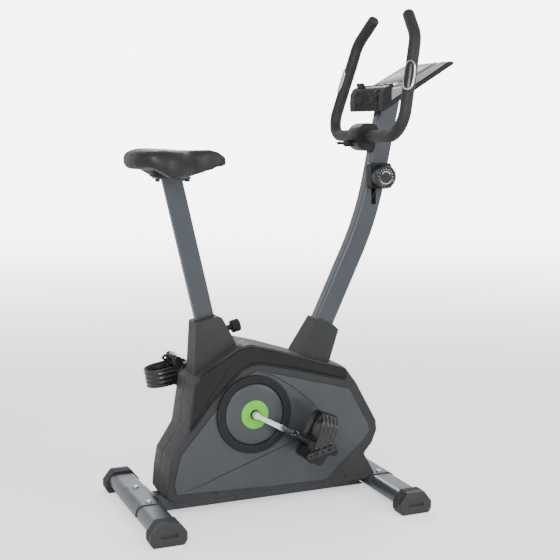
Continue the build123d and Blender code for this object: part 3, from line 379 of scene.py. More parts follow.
def plate(outline, steps, side, close_low=False):
    """A side-view outline built up across the bike: steps are (distance from the middle, inset)."""
    count = len(outline)
    verts = [P(p.x, side * out, p.y) for out, inset in steps for p in shrunk(outline, inset)]
    faces = quads(len(steps), count)
    last = (len(steps) - 1) * count
    faces.append(tuple(range(last, last + count)))
    if close_low:
        faces.append(tuple(range(count - 1, -1, -1)))
    return verts, faces


def flat_faces(obj):
    """Keeps the broad flat faces looking flat beside their rounded edges."""
    keen = obj.modifiers.new("normals", "WEIGHTED_NORMAL")
    keen.keep_sharp = True
    keen.weight = 90


def edge_steps(low, high, radius, steps=4):
    """The steps of a plate from low to high, with a rounded rim on its high face."""
    rise = [(low, 0), (high - radius, 0)]
    for k in range(1, steps + 1):
        a = pi / 2 * k / steps
        rise.append((high - radius + radius * sin(a), radius * (1 - cos(a))))
    return rise


def shell_steps():
    """The casing's wall from the seam on the middle plane, crowned, out to its rounded side edge."""
    seam = [(0.2, 1.6), (0.9, 1.5), (1.4, 0.2)]
    shoulder, radius = 70, 5.5
    wall = [(y, CROWN * (y / shoulder) ** 2) for y in (12, 26, 40, 52, 62)]
    edge = []
    for k in range(6):
        a = pi / 2 * k / 5
        edge.append((CASE_HALF - radius + radius * sin(a), CROWN + radius * (1 - cos(a))))
    return seam + wall + edge


def lathe(profile, side, turns=96, x=0, z=CRANK_Z):
    """A turned shape about an axis across the bike: profile is (radius, distance from the middle)."""
    rings = [[P(a, side * out, b) for a, b in circle(x, z, radius, turns)] for radius, out in profile]
    return loft(rings, cap_low=False, cap_high=False)


# Routes of the dark lines along the side panel's creases: painted shade in the folds.
PANEL_CREASE_SHADES = [[(12, 395), (60, 381), (109, 350), (140, 327), (175, 295), (203, 266)],
               [(-206, 79), (-150, 92), (-101, 110), (18, 150), (80, 172), (129, 188)]]


def ribbon(route, half, side):
    """A fine dark line on the side panel, painted shade along a crease, narrowing at both ends."""
    points = [Vector(p) for p in route]
    left, right = [], []
    for i, here in enumerate(points):
        run = (points[min(i + 1, len(points) - 1)] - points[max(i - 1, 0)]).normalized()
        across = Vector((-run.y, run.x)) * half * (1 if 0 < i < len(points) - 1 else 0.3)
        left.append(here + across)
        right.append(here - across)
    steps = [(PANEL_FACE - 0.7, 0), (PANEL_FACE + 0.15, 0)]
    return plate(left + right[::-1], steps, side, close_low=True)


def case_rear(z):
    """Where the casing's rear edge lies beside the trim, at a height."""
    return -194 + (z - 240) * 22 / 136


def kept_in(line, margin):
    """A trim outline held a margin inside the casing's rear edge."""
    return [Vector((max(p.x, case_rear(p.y) + margin), p.y)) for p in line]


def centre_turnings():
    """The turned parts round the crank: name, slot, stood-for node, finish and (radius, out) profile."""
    ring = [(RING_IN - 1, 79), (RING_IN, 85.2), (RING_IN + 0.8, 86.4), (RING_IN + 2, 86.9), (99, 87),
            (RING_OUT - 2.2, 86.7), (RING_OUT - 0.8, 86), (RING_OUT, 84.6), (RING_OUT + 0.2, 78)]
    cover = [(RING_IN + 2, 80), (RING_IN - 1.2, 80.5), (RING_IN - 1.6, 82.6), (RING_IN - 3, 83.4), (84, 83.8),
             (60, 84.6), (HUB_DISC_R + 2, 85), (HUB_DISC_R - 2, 85)]
    disc = [(HUB_DISC_R, 84), (HUB_DISC_R, 87.4), (HUB_DISC_R - 0.7, 88.5), (HUB_DISC_R - 2, 89), (30, 89.2),
            (HUB_HOLE + 3, 88.4), (HUB_HOLE + 1, 87.6), (HUB_HOLE, 86), (HUB_HOLE, 70)]
    # The hub well's floor is painted shade: a near-black dish at the bottom of the hub hole.
    well = [(HUB_HOLE, 72), (HUB_HOLE - 0.5, 71), (0.5, 70.5)]
    return (("ring_moulding", "black_plastic", ("cover_rings",), None, ring),
            ("crank_disc", "panel_grey", ("crank_covers",), None, cover),
            ("hub_disc", "green_accent", ("hub_discs",), None, disc),
            ("hub_well_shade", "black_plastic", (), FINISH["painted_shade"], well))


CASE = shrunk(dense_edges(rounded(CASE_OUTLINE, 9), 30), -CROWN)
PANEL = rounded(PANEL_OUTLINE, 7)
TRIM = kept_in(rounded(TRIM_OUTLINE, 5), 4)
# Painted shadow under the trim band: a near-black sheet a little larger than the band and set lower, so that
# most of it shows below the band.
TRIM_SHADOW = kept_in([p + Vector((2, -4)) for p in shrunk(TRIM, -6)], 6)
SHADOW_STEPS = [(PLATE_SEAT, 0), (SHADOW_FACE - 0.2, 0), (SHADOW_FACE, 0.4)]
for name, side in SIDES:
    shell = make(f"{name}_case_shell", *plate(CASE, shell_steps(), side), "root", "charcoal_plastic",
                 (f"{name}_casing",))
    trim = make(f"{name}_trim_band", *plate(TRIM, edge_steps(PLATE_SEAT, TRIM_FACE, 1.8), side), "root",
                "black_plastic", (f"{name}_trim",))
    # The near-black sheet of painted shadow under the trim band.
    painted_shade = make(f"{name}_trim_shadow", *plate(TRIM_SHADOW, SHADOW_STEPS, side), "root", "black_plastic",
               mat=FINISH["painted_shade"])
    panel = make(f"{name}_panel", *plate(PANEL, edge_steps(PLATE_SEAT, PANEL_FACE, 1.4), side), "root",
                 "panel_grey", (f"{name}_side_panel",))
    for piece in (shell, trim, painted_shade, panel):
        flat_faces(piece)
    # Painted shade along the panel's creases, in the near-black finish.
    for number, route in enumerate(PANEL_CREASE_SHADES):
        make(f"{name}_panel_crease_shade_{number}", *ribbon(route, 1.1, side), "root", "panel_grey",
             mat=FINISH["painted_shade"])
    for part, slot, nodes, mat, profile in centre_turnings():
        make(f"{name}_{part}", *lathe(profile, side), "root", slot, nodes, mat=mat)


def block(place, outline, low, high, round_off, corner=4):
    """An outline raised from low to high with rounded rims; place turns (a, b, height) into a point."""
    line = rounded(outline, corner, 2.0)
    steps = [(low, round_off), (low + round_off * 0.3, round_off * 0.3), (low + round_off, 0)]
    steps += [(high - round_off, 0), (high - round_off * 0.3, round_off * 0.3), (high, round_off)]
    count = len(line)
    verts = [place(p.x, p.y, out) for out, inset in steps for p in shrunk(line, inset)]
    faces = quads(len(steps), count)
    faces.append(tuple(range(count - 1, -1, -1)))
    faces.append(tuple(range((len(steps) - 1) * count, len(steps) * count)))
    return verts, faces


# ------------------------------------------------------------------ handlebar grips
GRIP_START = 36
BAR_BENDS = (62, 70)


def bar_corner(side, across, up):
    """A point of the handlebar's tilted plane: across from the middle, up from the clamp."""
    a = radians(BAR_TILT)
    return Vector((BAR_X + up * sin(a), side * across, BAR_Z + up * cos(a)))


def grip_path(side):
    """The foam's centre line, from beside the clamp to the turned-in tip."""
    corners = ((GRIP_START, 0), (BAR_HALF, 0), (UPPER_HALF, BAR_RISE), (TIP_HALF, TIP_RISE))
    return filleted([bar_corner(side, across, up) for across, up in corners], BAR_BENDS)


def rounded_ends(radius, tip):
    """A tube's radius along its run, rounding off over its last tip millimetres."""
    def at(run, total):
        near = min(run, total - run, tip) / tip
        return radius - tip * (1 - math.sqrt(max(0.0, 1 - (1 - near) ** 2)))
    return at


def with_ends(path, tip):
    """Extra stations close to both ends, so that the ends round off."""
    out = list(path)
    for share in (0.08, 0.25, 0.5, 0.75):
        out.append(path[0].lerp(path[1], share * tip / max(tip, (path[1] - path[0]).length)))
        out.append(path[-1].lerp(path[-2], share * tip / max(tip, (path[-1] - path[-2]).length)))
    start, end = path[0], path[-1]
    head = sorted([p for p in out if (p - start).length < tip + 8], key=lambda p: (p - start).length)
    tail = sorted([p for p in out if (p - end).length < tip + 8], key=lambda p: -(p - end).length)
    middle = [p for p in path if p not in head and p not in tail]
    return head + middle + tail


for name, side in SIDES:
    rings = tube_rings(with_ends(grip_path(side), GRIP_TIP), rounded_ends(GRIP_R, GRIP_TIP))
    for ring in rings:
        centre = sum(ring, Vector()) / len(ring)
        for i, v in enumerate(ring):
            soft = noise.noise(v * 0.045) * 0.35
            ring[i] = v + (v - centre).normalized() * soft
    rings = [[P(*v) for v in ring] for ring in rings]
    grip = make(f"{name}_foam_grip", *loft(rings), "handlebar", "foam", (f"{name}_grip",))


# ------------------------------------------------------------------ saddle
SADDLE_EDGE = [(-336, 0), (-335, 35), (-326, 74), (-300, 104), (-266, 113), (-234, 109), (-204, 93),
               (-176, 70), (-150, 50), (-120, 38), (-90, 33), (-66, 27), (-50, 14), (-46, 0)]
# Each ring of the cover: its share of the way out to the rim, and its share of the cover's height.
SADDLE_SECTIONS = [(0.80, 0.10), (0.93, 0.0), (0.985, 0.12), (1.0, 0.34), (0.985, 0.6), (0.93, 0.8),
                   (0.84, 0.92), (0.7, 0.985), (0.5, 1.0), (0.25, 0.985), (0.04, 0.97)]
SKIRT_LOW, CREST = 958, 1006


def saddle_rim(count):
    """Plan outline of the saddle: broad haunches at the back, waisted, with a round nose."""
    half = [Vector(p) for p in SADDLE_EDGE]
    line = half + [Vector((p.x, -p.y)) for p in half[-2:0:-1]]
    for _ in range(2):
        line = [q for a, b in zip(line, line[1:] + line[:1]) for q in (a.lerp(b, 0.25), a.lerp(b, 0.75))]
    lengths = [0.0]
    for a, b in zip(line, line[1:] + line[:1]):
        lengths.append(lengths[-1] + (b - a).length)
    out, k = [], 0
    for i in range(count):
        want = lengths[-1] * (i + 0.5) / count
        while lengths[k + 1] < want:
            k += 1
        share = (want - lengths[k]) / (lengths[k + 1] - lengths[k])
        out.append(line[k].lerp(line[(k + 1) % len(line)], share))
    return out


def smooth(low, high, value):
    """0 below low, 1 above high, eased between."""
    share = min(1.0, max(0.0, (value - low) / (high - low)))
    return share * share * (3 - 2 * share)


def saddle_rings(inset):
    """Rings from the skirt's lower edge up over the rim and in to the spine."""
    rim = saddle_rim(72)
    rings = []
    for share, rise in SADDLE_SECTIONS:
        ring = []
        for p in rim:
            spine = Vector((min(max(p.x, SADDLE_REAR + 78), SADDLE_NOSE - 34), 0))
            edge = p - spine
            edge *= (edge.length - inset) / max(edge.length, 1)
            q = spine + edge * share
            along = (p.x - SADDLE_REAR) / (SADDLE_NOSE - SADDLE_REAR)
            low = SKIRT_LOW - 28 * smooth(0.08, 0.34, along) + 36 * smooth(0.5, 1.08, along)
            top = CREST - 5 * smooth(0.25, 0.6, along) + 3 * smooth(0.7, 0.88, along)
            top -= 7 * smooth(0.9, 1, along)
            low, top = low + inset * 0.6, top - inset
            ring.append(Vector((q.x, q.y, low + (top - low) * rise)))
        rings.append(ring)
    return rings


def cloth_swell(obj, voxel, pressure, cap, frames=20):
    """Puffs a closed cover out over its padding, moving no point further than cap."""
    remesh = obj.modifiers.new("even", "REMESH")
    remesh.mode = "VOXEL"
    remesh.voxel_size = voxel
    apply_all(obj)
    rest = [v.co.copy() for v in obj.data.vertices]
    cloth = obj.modifiers.new("cover", "CLOTH")
    cloth.settings.use_pressure = True
    cloth.settings.uniform_pressure_force = pressure
    cloth.settings.effector_weights.gravity = 0
    cloth.settings.quality = 6
    cloth.settings.tension_stiffness = 25
    cloth.settings.bending_stiffness = 2.0
    cloth.point_cache.frame_start, cloth.point_cache.frame_end = 1, frames
    for step in range(1, frames + 1):
        bpy.context.scene.frame_set(step)
    apply_all(obj)
    for v, start in zip(obj.data.vertices, rest):
        move = v.co - start
        if move.length > cap:
            v.co = start + move.normalized() * cap
    bpy.context.scene.frame_set(1)


def apply_all(obj):
    """Bakes the modifiers into the mesh."""
    graph = bpy.context.evaluated_depsgraph_get()
    mesh = bpy.data.meshes.new_from_object(obj.evaluated_get(graph))
    old = obj.data
    obj.modifiers.clear()
    obj.data = mesh
    bpy.data.meshes.remove(old)
    for poly in obj.data.polygons:
        poly.use_smooth = True


rings = [[P(*v) for v in ring] for ring in saddle_rings(1)]
saddle = make("saddle_cover", *loft(rings), None, "saddle_cover")
cloth_swell(saddle, 0.005, 4.0, 0.006)
saddle.modifiers.new("fine", "SUBSURF").render_levels = 1
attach(saddle, "seat_slider")
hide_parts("saddle")
PAN_SHARE, PAN_LOW, PAN_HIGH = 0.4, 935, 958
pan_line = [(q - Vector((-215, 0))) * PAN_SHARE + Vector((-218, 0)) for q in saddle_rim(40)]
make("saddle_pan_shell", *block(P, pan_line, PAN_LOW, PAN_HIGH, 3, 1), "seat_slider", "black_plastic",
     ("saddle_pan",))


# ------------------------------------------------------------------ pedals and straps
CRANK_LENGTH, CRANK_ANGLE = 168, 29
PEDAL_TILT = {1: -100, -1: 22}
PEDAL_IN, PEDAL_OUT = 114, 204
TEETH, TOOTH_PITCH = 9, 8


def pedal_point(side, x, out, z):
    """A point on a pedal: x forwards, out from the bike's middle, z up, about its own axis."""
    a, turn = radians(CRANK_ANGLE), radians(PEDAL_TILT[side])
    px, pz = -side * CRANK_LENGTH * cos(a), CRANK_Z + side * CRANK_LENGTH * sin(a)
    return P(px + x * cos(turn) + z * sin(turn), side * out, pz - x * sin(turn) + z * cos(turn))


def pedal_plate(side, outline, low, high, round_off, corner=4):
    """A plate or bar across the pedal with rounded rims on both faces."""
    return block(lambda x, z, out: pedal_point(side, x, out, z), outline, low, high, round_off, corner)


def joined(parts):
    """Several vertex and face lists as one."""
    verts, faces = [], []
    for v, f in parts:
        faces += [tuple(i + len(verts) for i in face) for face in f]
        verts += v
    return verts, faces


def box_of(low_u, high_u, low_v, high_v):
    """A rectangular outline."""
    return [(low_u, low_v), (high_u, low_v), (high_u, high_v), (low_u, high_v)]


def pedal_parts(side):
    """The pedal: two cheeks, three toothed bars, the barrel and two weights below."""
    cheek = [(-38, 12), (54, 12), (58, 2), (52, -9), (30, -12), (24, -40), (12, -48), (-2, -44), (-10, -48),
             (-22, -42), (-26, -12), (-38, -6)]
    parts = [pedal_plate(side, cheek, PEDAL_IN, PEDAL_IN + 10, 1.6, 7)]
    parts.append(pedal_plate(side, cheek, PEDAL_OUT - 10, PEDAL_OUT, 1.6, 7))
    for x_from, x_to in ((-37, -27), (26, 35), (45, 54)):
        parts.append(pedal_plate(side, box_of(x_from, x_to, -3, 11), PEDAL_IN + 6, PEDAL_OUT - 6, 0.8, 2))
    for tooth in range(TEETH):
        y = PEDAL_IN + 13 + TOOTH_PITCH * tooth
        for x_from, x_to in ((-36, -28), (27, 34), (46, 53)):
            parts.append(pedal_plate(side, box_of(x_from, x_to, 10, 12.8), y, y + 4, 0.6, 1))
    parts.append(pedal_plate(side, circle(0, 0, 15, 24), PEDAL_IN - 2, PEDAL_OUT - 1, 2, 0.1))
    for x_from, x_to in ((-20, -3), (3, 20)):
        weight = [(x_from, -10), (x_to, -10), (x_to, -40), ((x_from + x_to) / 2, -46), (x_from, -40)]
        parts.append(pedal_plate(side, weight, PEDAL_IN + 16, PEDAL_OUT - 16, 2, 4))
    return joined(parts)


STRAP_HALF, STRAP_MIDDLE, STRAP_HIGH = 26, 6, 96
TAIL_HOLES = 5


def strap_profile(half):
    """Across the strap: raised hems and three ribs on the outside, smooth inside."""
    top = [(-half, 0.2), (-half, 2.4), (-half + 2.5, 2.7), (-half + 4, 1.5)]
    for rib in (-13, 0, 13):
        if abs(rib) < half - 8:
            top += [(rib - 3, 1.5), (rib - 1.8, 2.6), (rib + 1.8, 2.6), (rib + 3, 1.5)]
    return top + [(half - 4, 1.5), (half - 2.5, 2.7), (half, 2.4), (half, 0.2)]


def strap_band(side):
    """The foot loop: up the outside, over the shoe and down the inside."""
    middle, reach = (PEDAL_IN + PEDAL_OUT) / 2, (PEDAL_OUT - PEDAL_IN) / 2
    shoulder = STRAP_HIGH - reach - 2.7
    route = [(middle + reach, -6 + (shoulder + 6) * i / 8, 1, 0) for i in range(8)]
    for k in range(25):
        a = pi * k / 24
        route.append((middle + reach * cos(a), shoulder + reach * sin(a), cos(a), sin(a)))
    route += [(middle - reach, shoulder - (shoulder + 6) * i / 8, -1, 0) for i in range(1, 9)]
    rings = []
    for out, z, lean, rise in route:
        ring = []
        for x, lift in strap_profile(STRAP_HALF):
            off = lift - 1.5 * sin(pi * max(0, z) / STRAP_HIGH) * (x / STRAP_HALF) ** 2
            ring.append(pedal_point(side, x + STRAP_MIDDLE, out + off * lean, z + off * rise))
        rings.append(ring)
    return loft(rings)


def strap_tail(side):
    """The free end of the strap, laid across the pedal's outer cheek, with its row of holes."""
    start, end, half, tip = Vector((46, 20)), Vector((-27, -31)), 8.5, 9
    along = (end - start).normalized()
    across = Vector((-along.y, along.x))
    length = (end - start).length
    nose = end + along * 5
    outline = [start + across * half, start - across * half, end - across * half, nose - across * half * 0.5,
               nose + across * half * 0.5, end + across * half]
    line = rounded(outline, 4, 1.5)
    steps = ((PEDAL_OUT + 3.2, 0), (PEDAL_OUT + 5.2, 0), (PEDAL_OUT + 5.8, 0.6))
    verts = [pedal_point(side, p.x, out, p.y) for out, inset in steps for p in shrunk(line, inset)]
    count = len(line)
    faces = quads(len(steps), count)
    faces.append(tuple(range(count - 1, -1, -1)))
    faces.append(tuple(range(2 * count, 3 * count)))
    holes = []
    for k in range(TAIL_HOLES):
        spot = start + along * (tip + (length - 14) * k / (TAIL_HOLES - 1))
        ring = circle(spot.x, spot.y, 3, 16)
        holes.append(loft([[pedal_point(side, x, out, z) for x, z in ring]
                           for out in (PEDAL_OUT + 2, PEDAL_OUT + 8)]))
    return (verts, faces), joined(holes)


def cut(obj, verts, faces):
    """Cuts a closed shape out of a piece."""
    tool = closed("cutter", verts, faces)
    mesh = tool.data
    drill = obj.modifiers.new("holes", "BOOLEAN")
    drill.object = tool
    drill.solver = "EXACT"
    bpy.context.view_layer.update()
    apply_all(obj)
    bpy.data.objects.remove(tool)
    bpy.data.meshes.remove(mesh)


def peg(side, x, z):
    """A round stud that holds the strap on the pedal's outer cheek."""
    return pedal_plate(side, circle(x, z, 3.2, 24), PEDAL_OUT - 2, PEDAL_OUT + 7.5, 0.8, 0.1)


for name, side in SIDES:
    body = f"{name}_pedal_body"
    pedal = make(f"{name}_pedal_block", *pedal_parts(side), body, "black_plastic", (f"{name}_pedal",))
    flat_faces(pedal)
    make(f"{name}_strap_band", *strap_band(side), body, "black_plastic", (f"{name}_pedal_strap",),
         mat=FINISH["strap"])
    tail_mesh, hole_mesh = strap_tail(side)
    tail = make(f"{name}_strap_tail", *tail_mesh, None, "black_plastic", mat=FINISH["strap"])
    cut(tail, *hole_mesh)
    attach(tail, body)
    flat_faces(tail)
    make(f"{name}_strap_pegs", *joined([peg(side, 30, 8), peg(side, -14, -22)]), body, "black_plastic")
    # A light silver strip across the pedal's front end.
    front_strip = pedal_plate(side, box_of(56.6, 58.6, -6, 8), PEDAL_IN + 22, PEDAL_OUT - 22, 0.6, 0.8)
    make(f"{name}_pedal_front_strip", *front_strip, body, "silver_plastic")


# ------------------------------------------------------------------ console
CONSOLE_TRAY = [(378, 1112), (606, 1251), (601, 1258), (590, 1257.6), (402, 1143), (404, 1185), (400, 1187),
                (386, 1181), (378, 1166), (376, 1140)]
CONSOLE_TOP = [(404, 1144.5), (588, 1257), (562, 1255), (426, 1179), (410, 1177), (404, 1183)]
CONSOLE_HALF = 104
DISPLAY_X, DISPLAY_Z = 494, 1217
SLOPE = (0.8729, 0.4878)
POD_REAR, POD_STRAIGHT = 376.4, 1150
KEY_PLACES = (-42, 0, 42)
RIB_COUNT, RIB_PITCH, RIB_FIRST, RIB_HALF, RIB_RISE = 15, 10.5, 26, 1.5, 2.2


def across_bar(x, z, y):
    """A point for a block whose outline is in side view and whose height runs across the bike."""
    return P(x, y, z)


def on_display(u, v, lift):
    """A point over the display face: u to the rider's right, v up the slope."""
    return P(DISPLAY_X + v * SLOPE[0] - lift * SLOPE[1], -u, DISPLAY_Z + v * SLOPE[1] + lift * SLOPE[0])


def console_block(outline, half, soft, corner):
    """A side-view outline as wide as the console."""
    return block(across_bar, outline, -half, half, soft, corner)


def display_plate(half_u, low_v, high_v, low, high, corner):
    """A thin sheet centred on the display face."""
    return block(on_display, box_of(-half_u, half_u, low_v, high_v), low, high, 0.3, corner)


def on_pod(y, z, lift):
    """A point over the pod's rear face, which leans forwards near its top."""
    lean = 0 if z < POD_STRAIGHT else (z - POD_STRAIGHT) ** 2 / 130
    return P(POD_REAR + lean - lift, y, z)


def pod_ribs():
    """Curved ribs that sweep round in arcs over the speaker recess."""
    parts = []
    for k in range(RIB_COUNT):
        radius = RIB_FIRST + RIB_PITCH * k
        rings = []
        for i in range(60):
            a = pi / 2 * i / 59
            y, z = -84 + radius * cos(a), 1112 + radius * sin(a) * 0.62
            if not (-72 < y < 72 and 1121 < z < 1174):
                continue
            ay, az = cos(a) * RIB_HALF, sin(a) * RIB_HALF
            rings.append([on_pod(y - ay, z - az, 0.2), on_pod(y - ay, z - az, RIB_RISE),
                          on_pod(y + ay, z + az, RIB_RISE), on_pod(y + ay, z + az, 0.2)])
        if len(rings) > 2:
            parts.append(loft(rings))
    return joined(parts)


tray = make("console_pod", *console_block(CONSOLE_TRAY, CONSOLE_HALF - 0.5, 2.5, 4), "root",
            "charcoal_plastic", ("console_tray",), mat=FINISH["black_plastic"])
flat_faces(tray)
shell = make("console_shell", *console_block(CONSOLE_TOP, CONSOLE_HALF, 1.5, 1.5), None, "silver_plastic")
face = make("console_face", *display_plate(97, -72, 73, 0.1, 1.0, 9), None, "silver_plastic",
            mat=FINISH["overlay"])
key_wells = joined([block(on_display, box_of(u - 15, u + 15, -61, -47), -11, 6, 0.1, 4) for u in KEY_PLACES])
for obj in (shell, face):
    cut(obj, *key_wells)
    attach(obj, "root")
    flat_faces(obj)
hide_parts("console_body")
make("console_window_rim", *display_plate(79, -40, 68, 0.9, 1.5, 7), "root", "black_plastic")
make("console_glass", *display_plate(75, -36, 64, 1.3, 2.1, 5), "root", "lens", ("console_lens",))
# The speaker recess and the vent slots are painted shade: near-black sheets on the pod's rear face.
well = block(on_pod, box_of(-75, 75, 1119, 1176), -1, 0.5, 0.2, 7)
make("speaker_well_shade", *well, "root", "black_plastic", mat=FINISH["painted_shade"])
make("speaker_ribs", *pod_ribs(), "root", "charcoal_plastic")
vents = joined([block(on_pod, box_of(low, low + 46, 1139, 1158), 0, 2.5, 0.3, 2) for low in (12, -72)])
make("speaker_vent_shades", *vents, "root", "black_plastic", mat=FINISH["painted_shade"])
ledge = block(across_bar, [(400, 1184), (404, 1191), (412, 1190), (414, 1178), (404, 1176)], -99, 97, 3, 2)
hook = block(across_bar, [(388, 1182), (384, 1196), (390, 1198), (398, 1184)], 40, 78, 1.5, 2)
make("console_ledge", *joined([ledge, hook]), "root", "black_plastic")


# ------------------------------------------------------------------ clamp, wing screw and dial
def around_x(profile, y, z, turns=40):
    """A turned shape about an axis along the bike: profile is (radius, x)."""
    return loft([[P(x, a, b) for a, b in circle(y, z, r, turns)] for r, x in profile])


SCREW_Z = BAR_Z - 20.7
# Side view of a near-black block, painted shade, that fills the hollow top of the clamp cover.
CLAMP_SHADE_FILL = [(362, 1062), (385, 1062), (385, 1075), (362, 1076)]
COLLAR = [(13, 23.5), (18.2, 23.5), (18.4, 25), (18.4, 33), (17.6, 36), (16.6, 37)]


def over_screw(y, x, lift):
    """A point for a block laid flat at the wing screw's height."""
    return P(x, y, SCREW_Z + lift)


wings = [around_x([(8, 333), (9.5, 331), (10, 326), (10, 313), (8, 309), (4, 308)], 0, SCREW_Z)]
for way in (-1, 1):
    wings.append(block(over_screw, circle(17 * way, 307, 12.5, 20), -4, 4, 1.6, 0.1))
    neck = [(3 * way, 300), (12 * way, 300), (12 * way, 320), (3 * way, 320)]
    wings.append(block(over_screw, neck, -3.6, 3.6, 1.2, 1))
make("wing_screw_grip", *joined(wings), "wing", "black_plastic", ("wing_screw",))
shank = around_x([(2.8, 333), (3, 335), (3, 388), (2, 390)], 0, SCREW_Z)
make("wing_screw_shank", *shank, "wing", "zinc_steel")
for name, side in SIDES:
    make(f"{name}_bar_collar", *lathe(COLLAR, side, 48, BAR_X, BAR_Z), "handlebar", "foam")
# Painted shade inside the clamp cover, so that no light shows through its top.
make("clamp_shade_fill", *block(across_bar, CLAMP_SHADE_FILL, -26, 26, 1, 2), "root", "black_plastic", mat=FINISH["painted_shade"])


DIAL_X, DIAL_Z = 406.5, 930
DIAL_FLUTES = 24
DIAL_PROFILE = ((33, 50.8, 0), (34.6, 51.6, 0.4), (34.9, 54, 1.6), (34.9, 68, 1.6), (34.4, 70.5, 0.6),
                (33.4, 73, 0), (31.8, 74.8, 0), (29.6, 75.7, 0), (27.6, 75.9, 0), (26.6, 75.4, 0),
                (25.8, 74.6, 0), (14, 74.3, 0))


def dial_ring(radius, out, flute):
    """One ring of the knob, with finger flutes of a given depth."""
    turns = 8 * DIAL_FLUTES
    points = []
    for i in range(turns):
        a = 2 * pi * i / turns
        r = radius - flute * max(0, cos(DIAL_FLUTES * a)) ** 2
        points.append(P(DIAL_X + r * cos(a), -out, DIAL_Z + r * sin(a)))
    return points


dial_rings = [dial_ring(*station) for station in DIAL_PROFILE]
make("dial_knob", *loft(dial_rings), "dial", "black_plastic", ("tension_dial",), mat=FINISH["dial_gloss"])
rim = lathe([(29.8, 75.4), (30.2, 76.2), (31.2, 76), (31.8, 75)], -1, 96, DIAL_X, DIAL_Z)
make("dial_rim", *rim, "dial", "silver_plastic", mat=FINISH["strap"])


def dial_mark(start, end, radius, low, high):
    """A printed arc on the dial, from one angle to another, widening from low to high."""
    steps = 14
    rings = []
    for k in range(steps + 1):
        share = k / steps
        a = radians(start + (end - start) * share)
        half = (low + (high - low) * share) / 2
        spots = ((radius - half, 74.2), (radius - half, 75.0), (radius + half, 75.0), (radius + half, 74.2))
        rings.append([P(DIAL_X + r * cos(a), -out, DIAL_Z + r * sin(a)) for r, out in spots])
    return loft(rings)


marks = [dial_mark(150, 30, 15, 1.4, 3.0), dial_mark(215, 325, 20, 1.2, 2.6)]
for k in range(11):
    turn = 200 - 22 * k
    marks.append(dial_mark(turn, turn - 3 - 0.4 * k, 21.5, 2.2, 2.2 + 0.25 * k))
make("dial_marks", *joined(marks), "dial", "silver_plastic", mat=FINISH["print_white"])


# ------------------------------------------------------------------ hand pulse sensors
SENSOR_UP, SENSOR_LONG = 165, 84


def sensor_patch(side, long, spread, lift, sink):
    """A pad with an oval outline, wrapped round the outer rear of the grip."""
    tilt = radians(BAR_TILT)
    slant = (UPPER_HALF - BAR_HALF) / BAR_RISE
    centre = bar_corner(side, BAR_HALF + slant * SENSOR_UP, SENSOR_UP)
    along = Vector((sin(tilt), side * slant, cos(tilt))).normalized()
    rear = Vector((-cos(tilt), 0, sin(tilt)))
    rear = (rear - along * rear.dot(along)).normalized()
    out = along.cross(rear) * -1
    if out.y * side < 0:
        out = -out

    def spot(s, turn, radius):
        a = radians(45) + turn
        return P(*(centre + along * (s * long / 2) + (rear * cos(a) + out * sin(a)) * radius))

    rows, cols = 28, 18
    rings = []
    for i in range(rows + 1):
        s = -1 + 2 * i / rows
        s = math.copysign(1 - (1 - abs(s)) ** 1.6, s)
        wide = radians(spread) * max(0.02, 1 - abs(s) ** 2.6) ** 0.5
        ring = []
        for j in range(cols + 1):
            c = -1 + 2 * j / cols
            radius = GRIP_R + sink + (lift - sink) * (1 - abs(c) ** 6) * (1 - abs(s) ** 8)
            ring.append(spot(s, c * wide, radius))
        ring += [spot(s, c * wide, GRIP_R - 1) for c in (0.6, 0, -0.6)]
        rings.append(ring)
    return loft(rings)


for name, side in SIDES:
    make(f"{name}_pulse_plate", *sensor_patch(side, SENSOR_LONG, 76, 2.0, -0.4), "handlebar", "chrome_steel",
         ("pulse_sensors",))
    make(f"{name}_pulse_insert", *sensor_patch(side, SENSOR_LONG - 7, 52, 3.0, 1.4), "handlebar",
         "black_plastic", mat=FINISH["strap"])


# ------------------------------------------------------------------ ribbed bands of the feet
FOOT_SECTION = [(-50.8, 14), (-50.8, 34.3), (-26.4, 64.8), (26.4, 64.8), (50.8, 34.3), (50.8, 14)]
FOOT_RIBS, FOOT_RIB_PITCH, FOOT_RIB_WIDTH, FOOT_RIB_START = 6, 4.6, 2.4, 41


def foot_ribs(x, half_width, side):
    """Thin bands round a foot's end cap, set in from the foot's end."""
    outline = [(x + a, b) for a, b in FOOT_SECTION]
    ribs = []
    for k in range(FOOT_RIBS):
        start = half_width - FOOT_RIB_START + FOOT_RIB_PITCH * k
        end = start + FOOT_RIB_WIDTH
        ribs.append(block(lambda a, b, out: P(a, side * out, b), outline, start, end, 0.7, 6))
    return joined(ribs)


for end_name, x, half_width in (("rear", -302, 253.5), ("front", 404, 287.5)):
    for name, side in SIDES:
        make(f"{end_name}_{name}_foot_ribs", *foot_ribs(x, half_width, side), "root", "cap_grey")


# ------------------------------------------------------------------ softened mouldings
SOFT_EDGES = {"seat_boot": 5.5, "post_boot": 5, "tension_housing": 2, "clamp_cover": 3,
              "front_end_caps": 2.5, "rear_end_caps": 2.5}
WELD_REACH, SHARP_ANGLE = 0.00002, 38
for node, width in SOFT_EDGES.items():
    obj = NODES[node]
    weld = obj.modifiers.new("weld", "WELD")
    weld.merge_threshold = WELD_REACH
    soft = obj.modifiers.new("soft", "BEVEL")
    soft.width = width / 1000
    soft.segments = 3
    soft.limit_method = "ANGLE"
    soft.angle_limit = radians(SHARP_ANGLE)
    soft.harden_normals = True


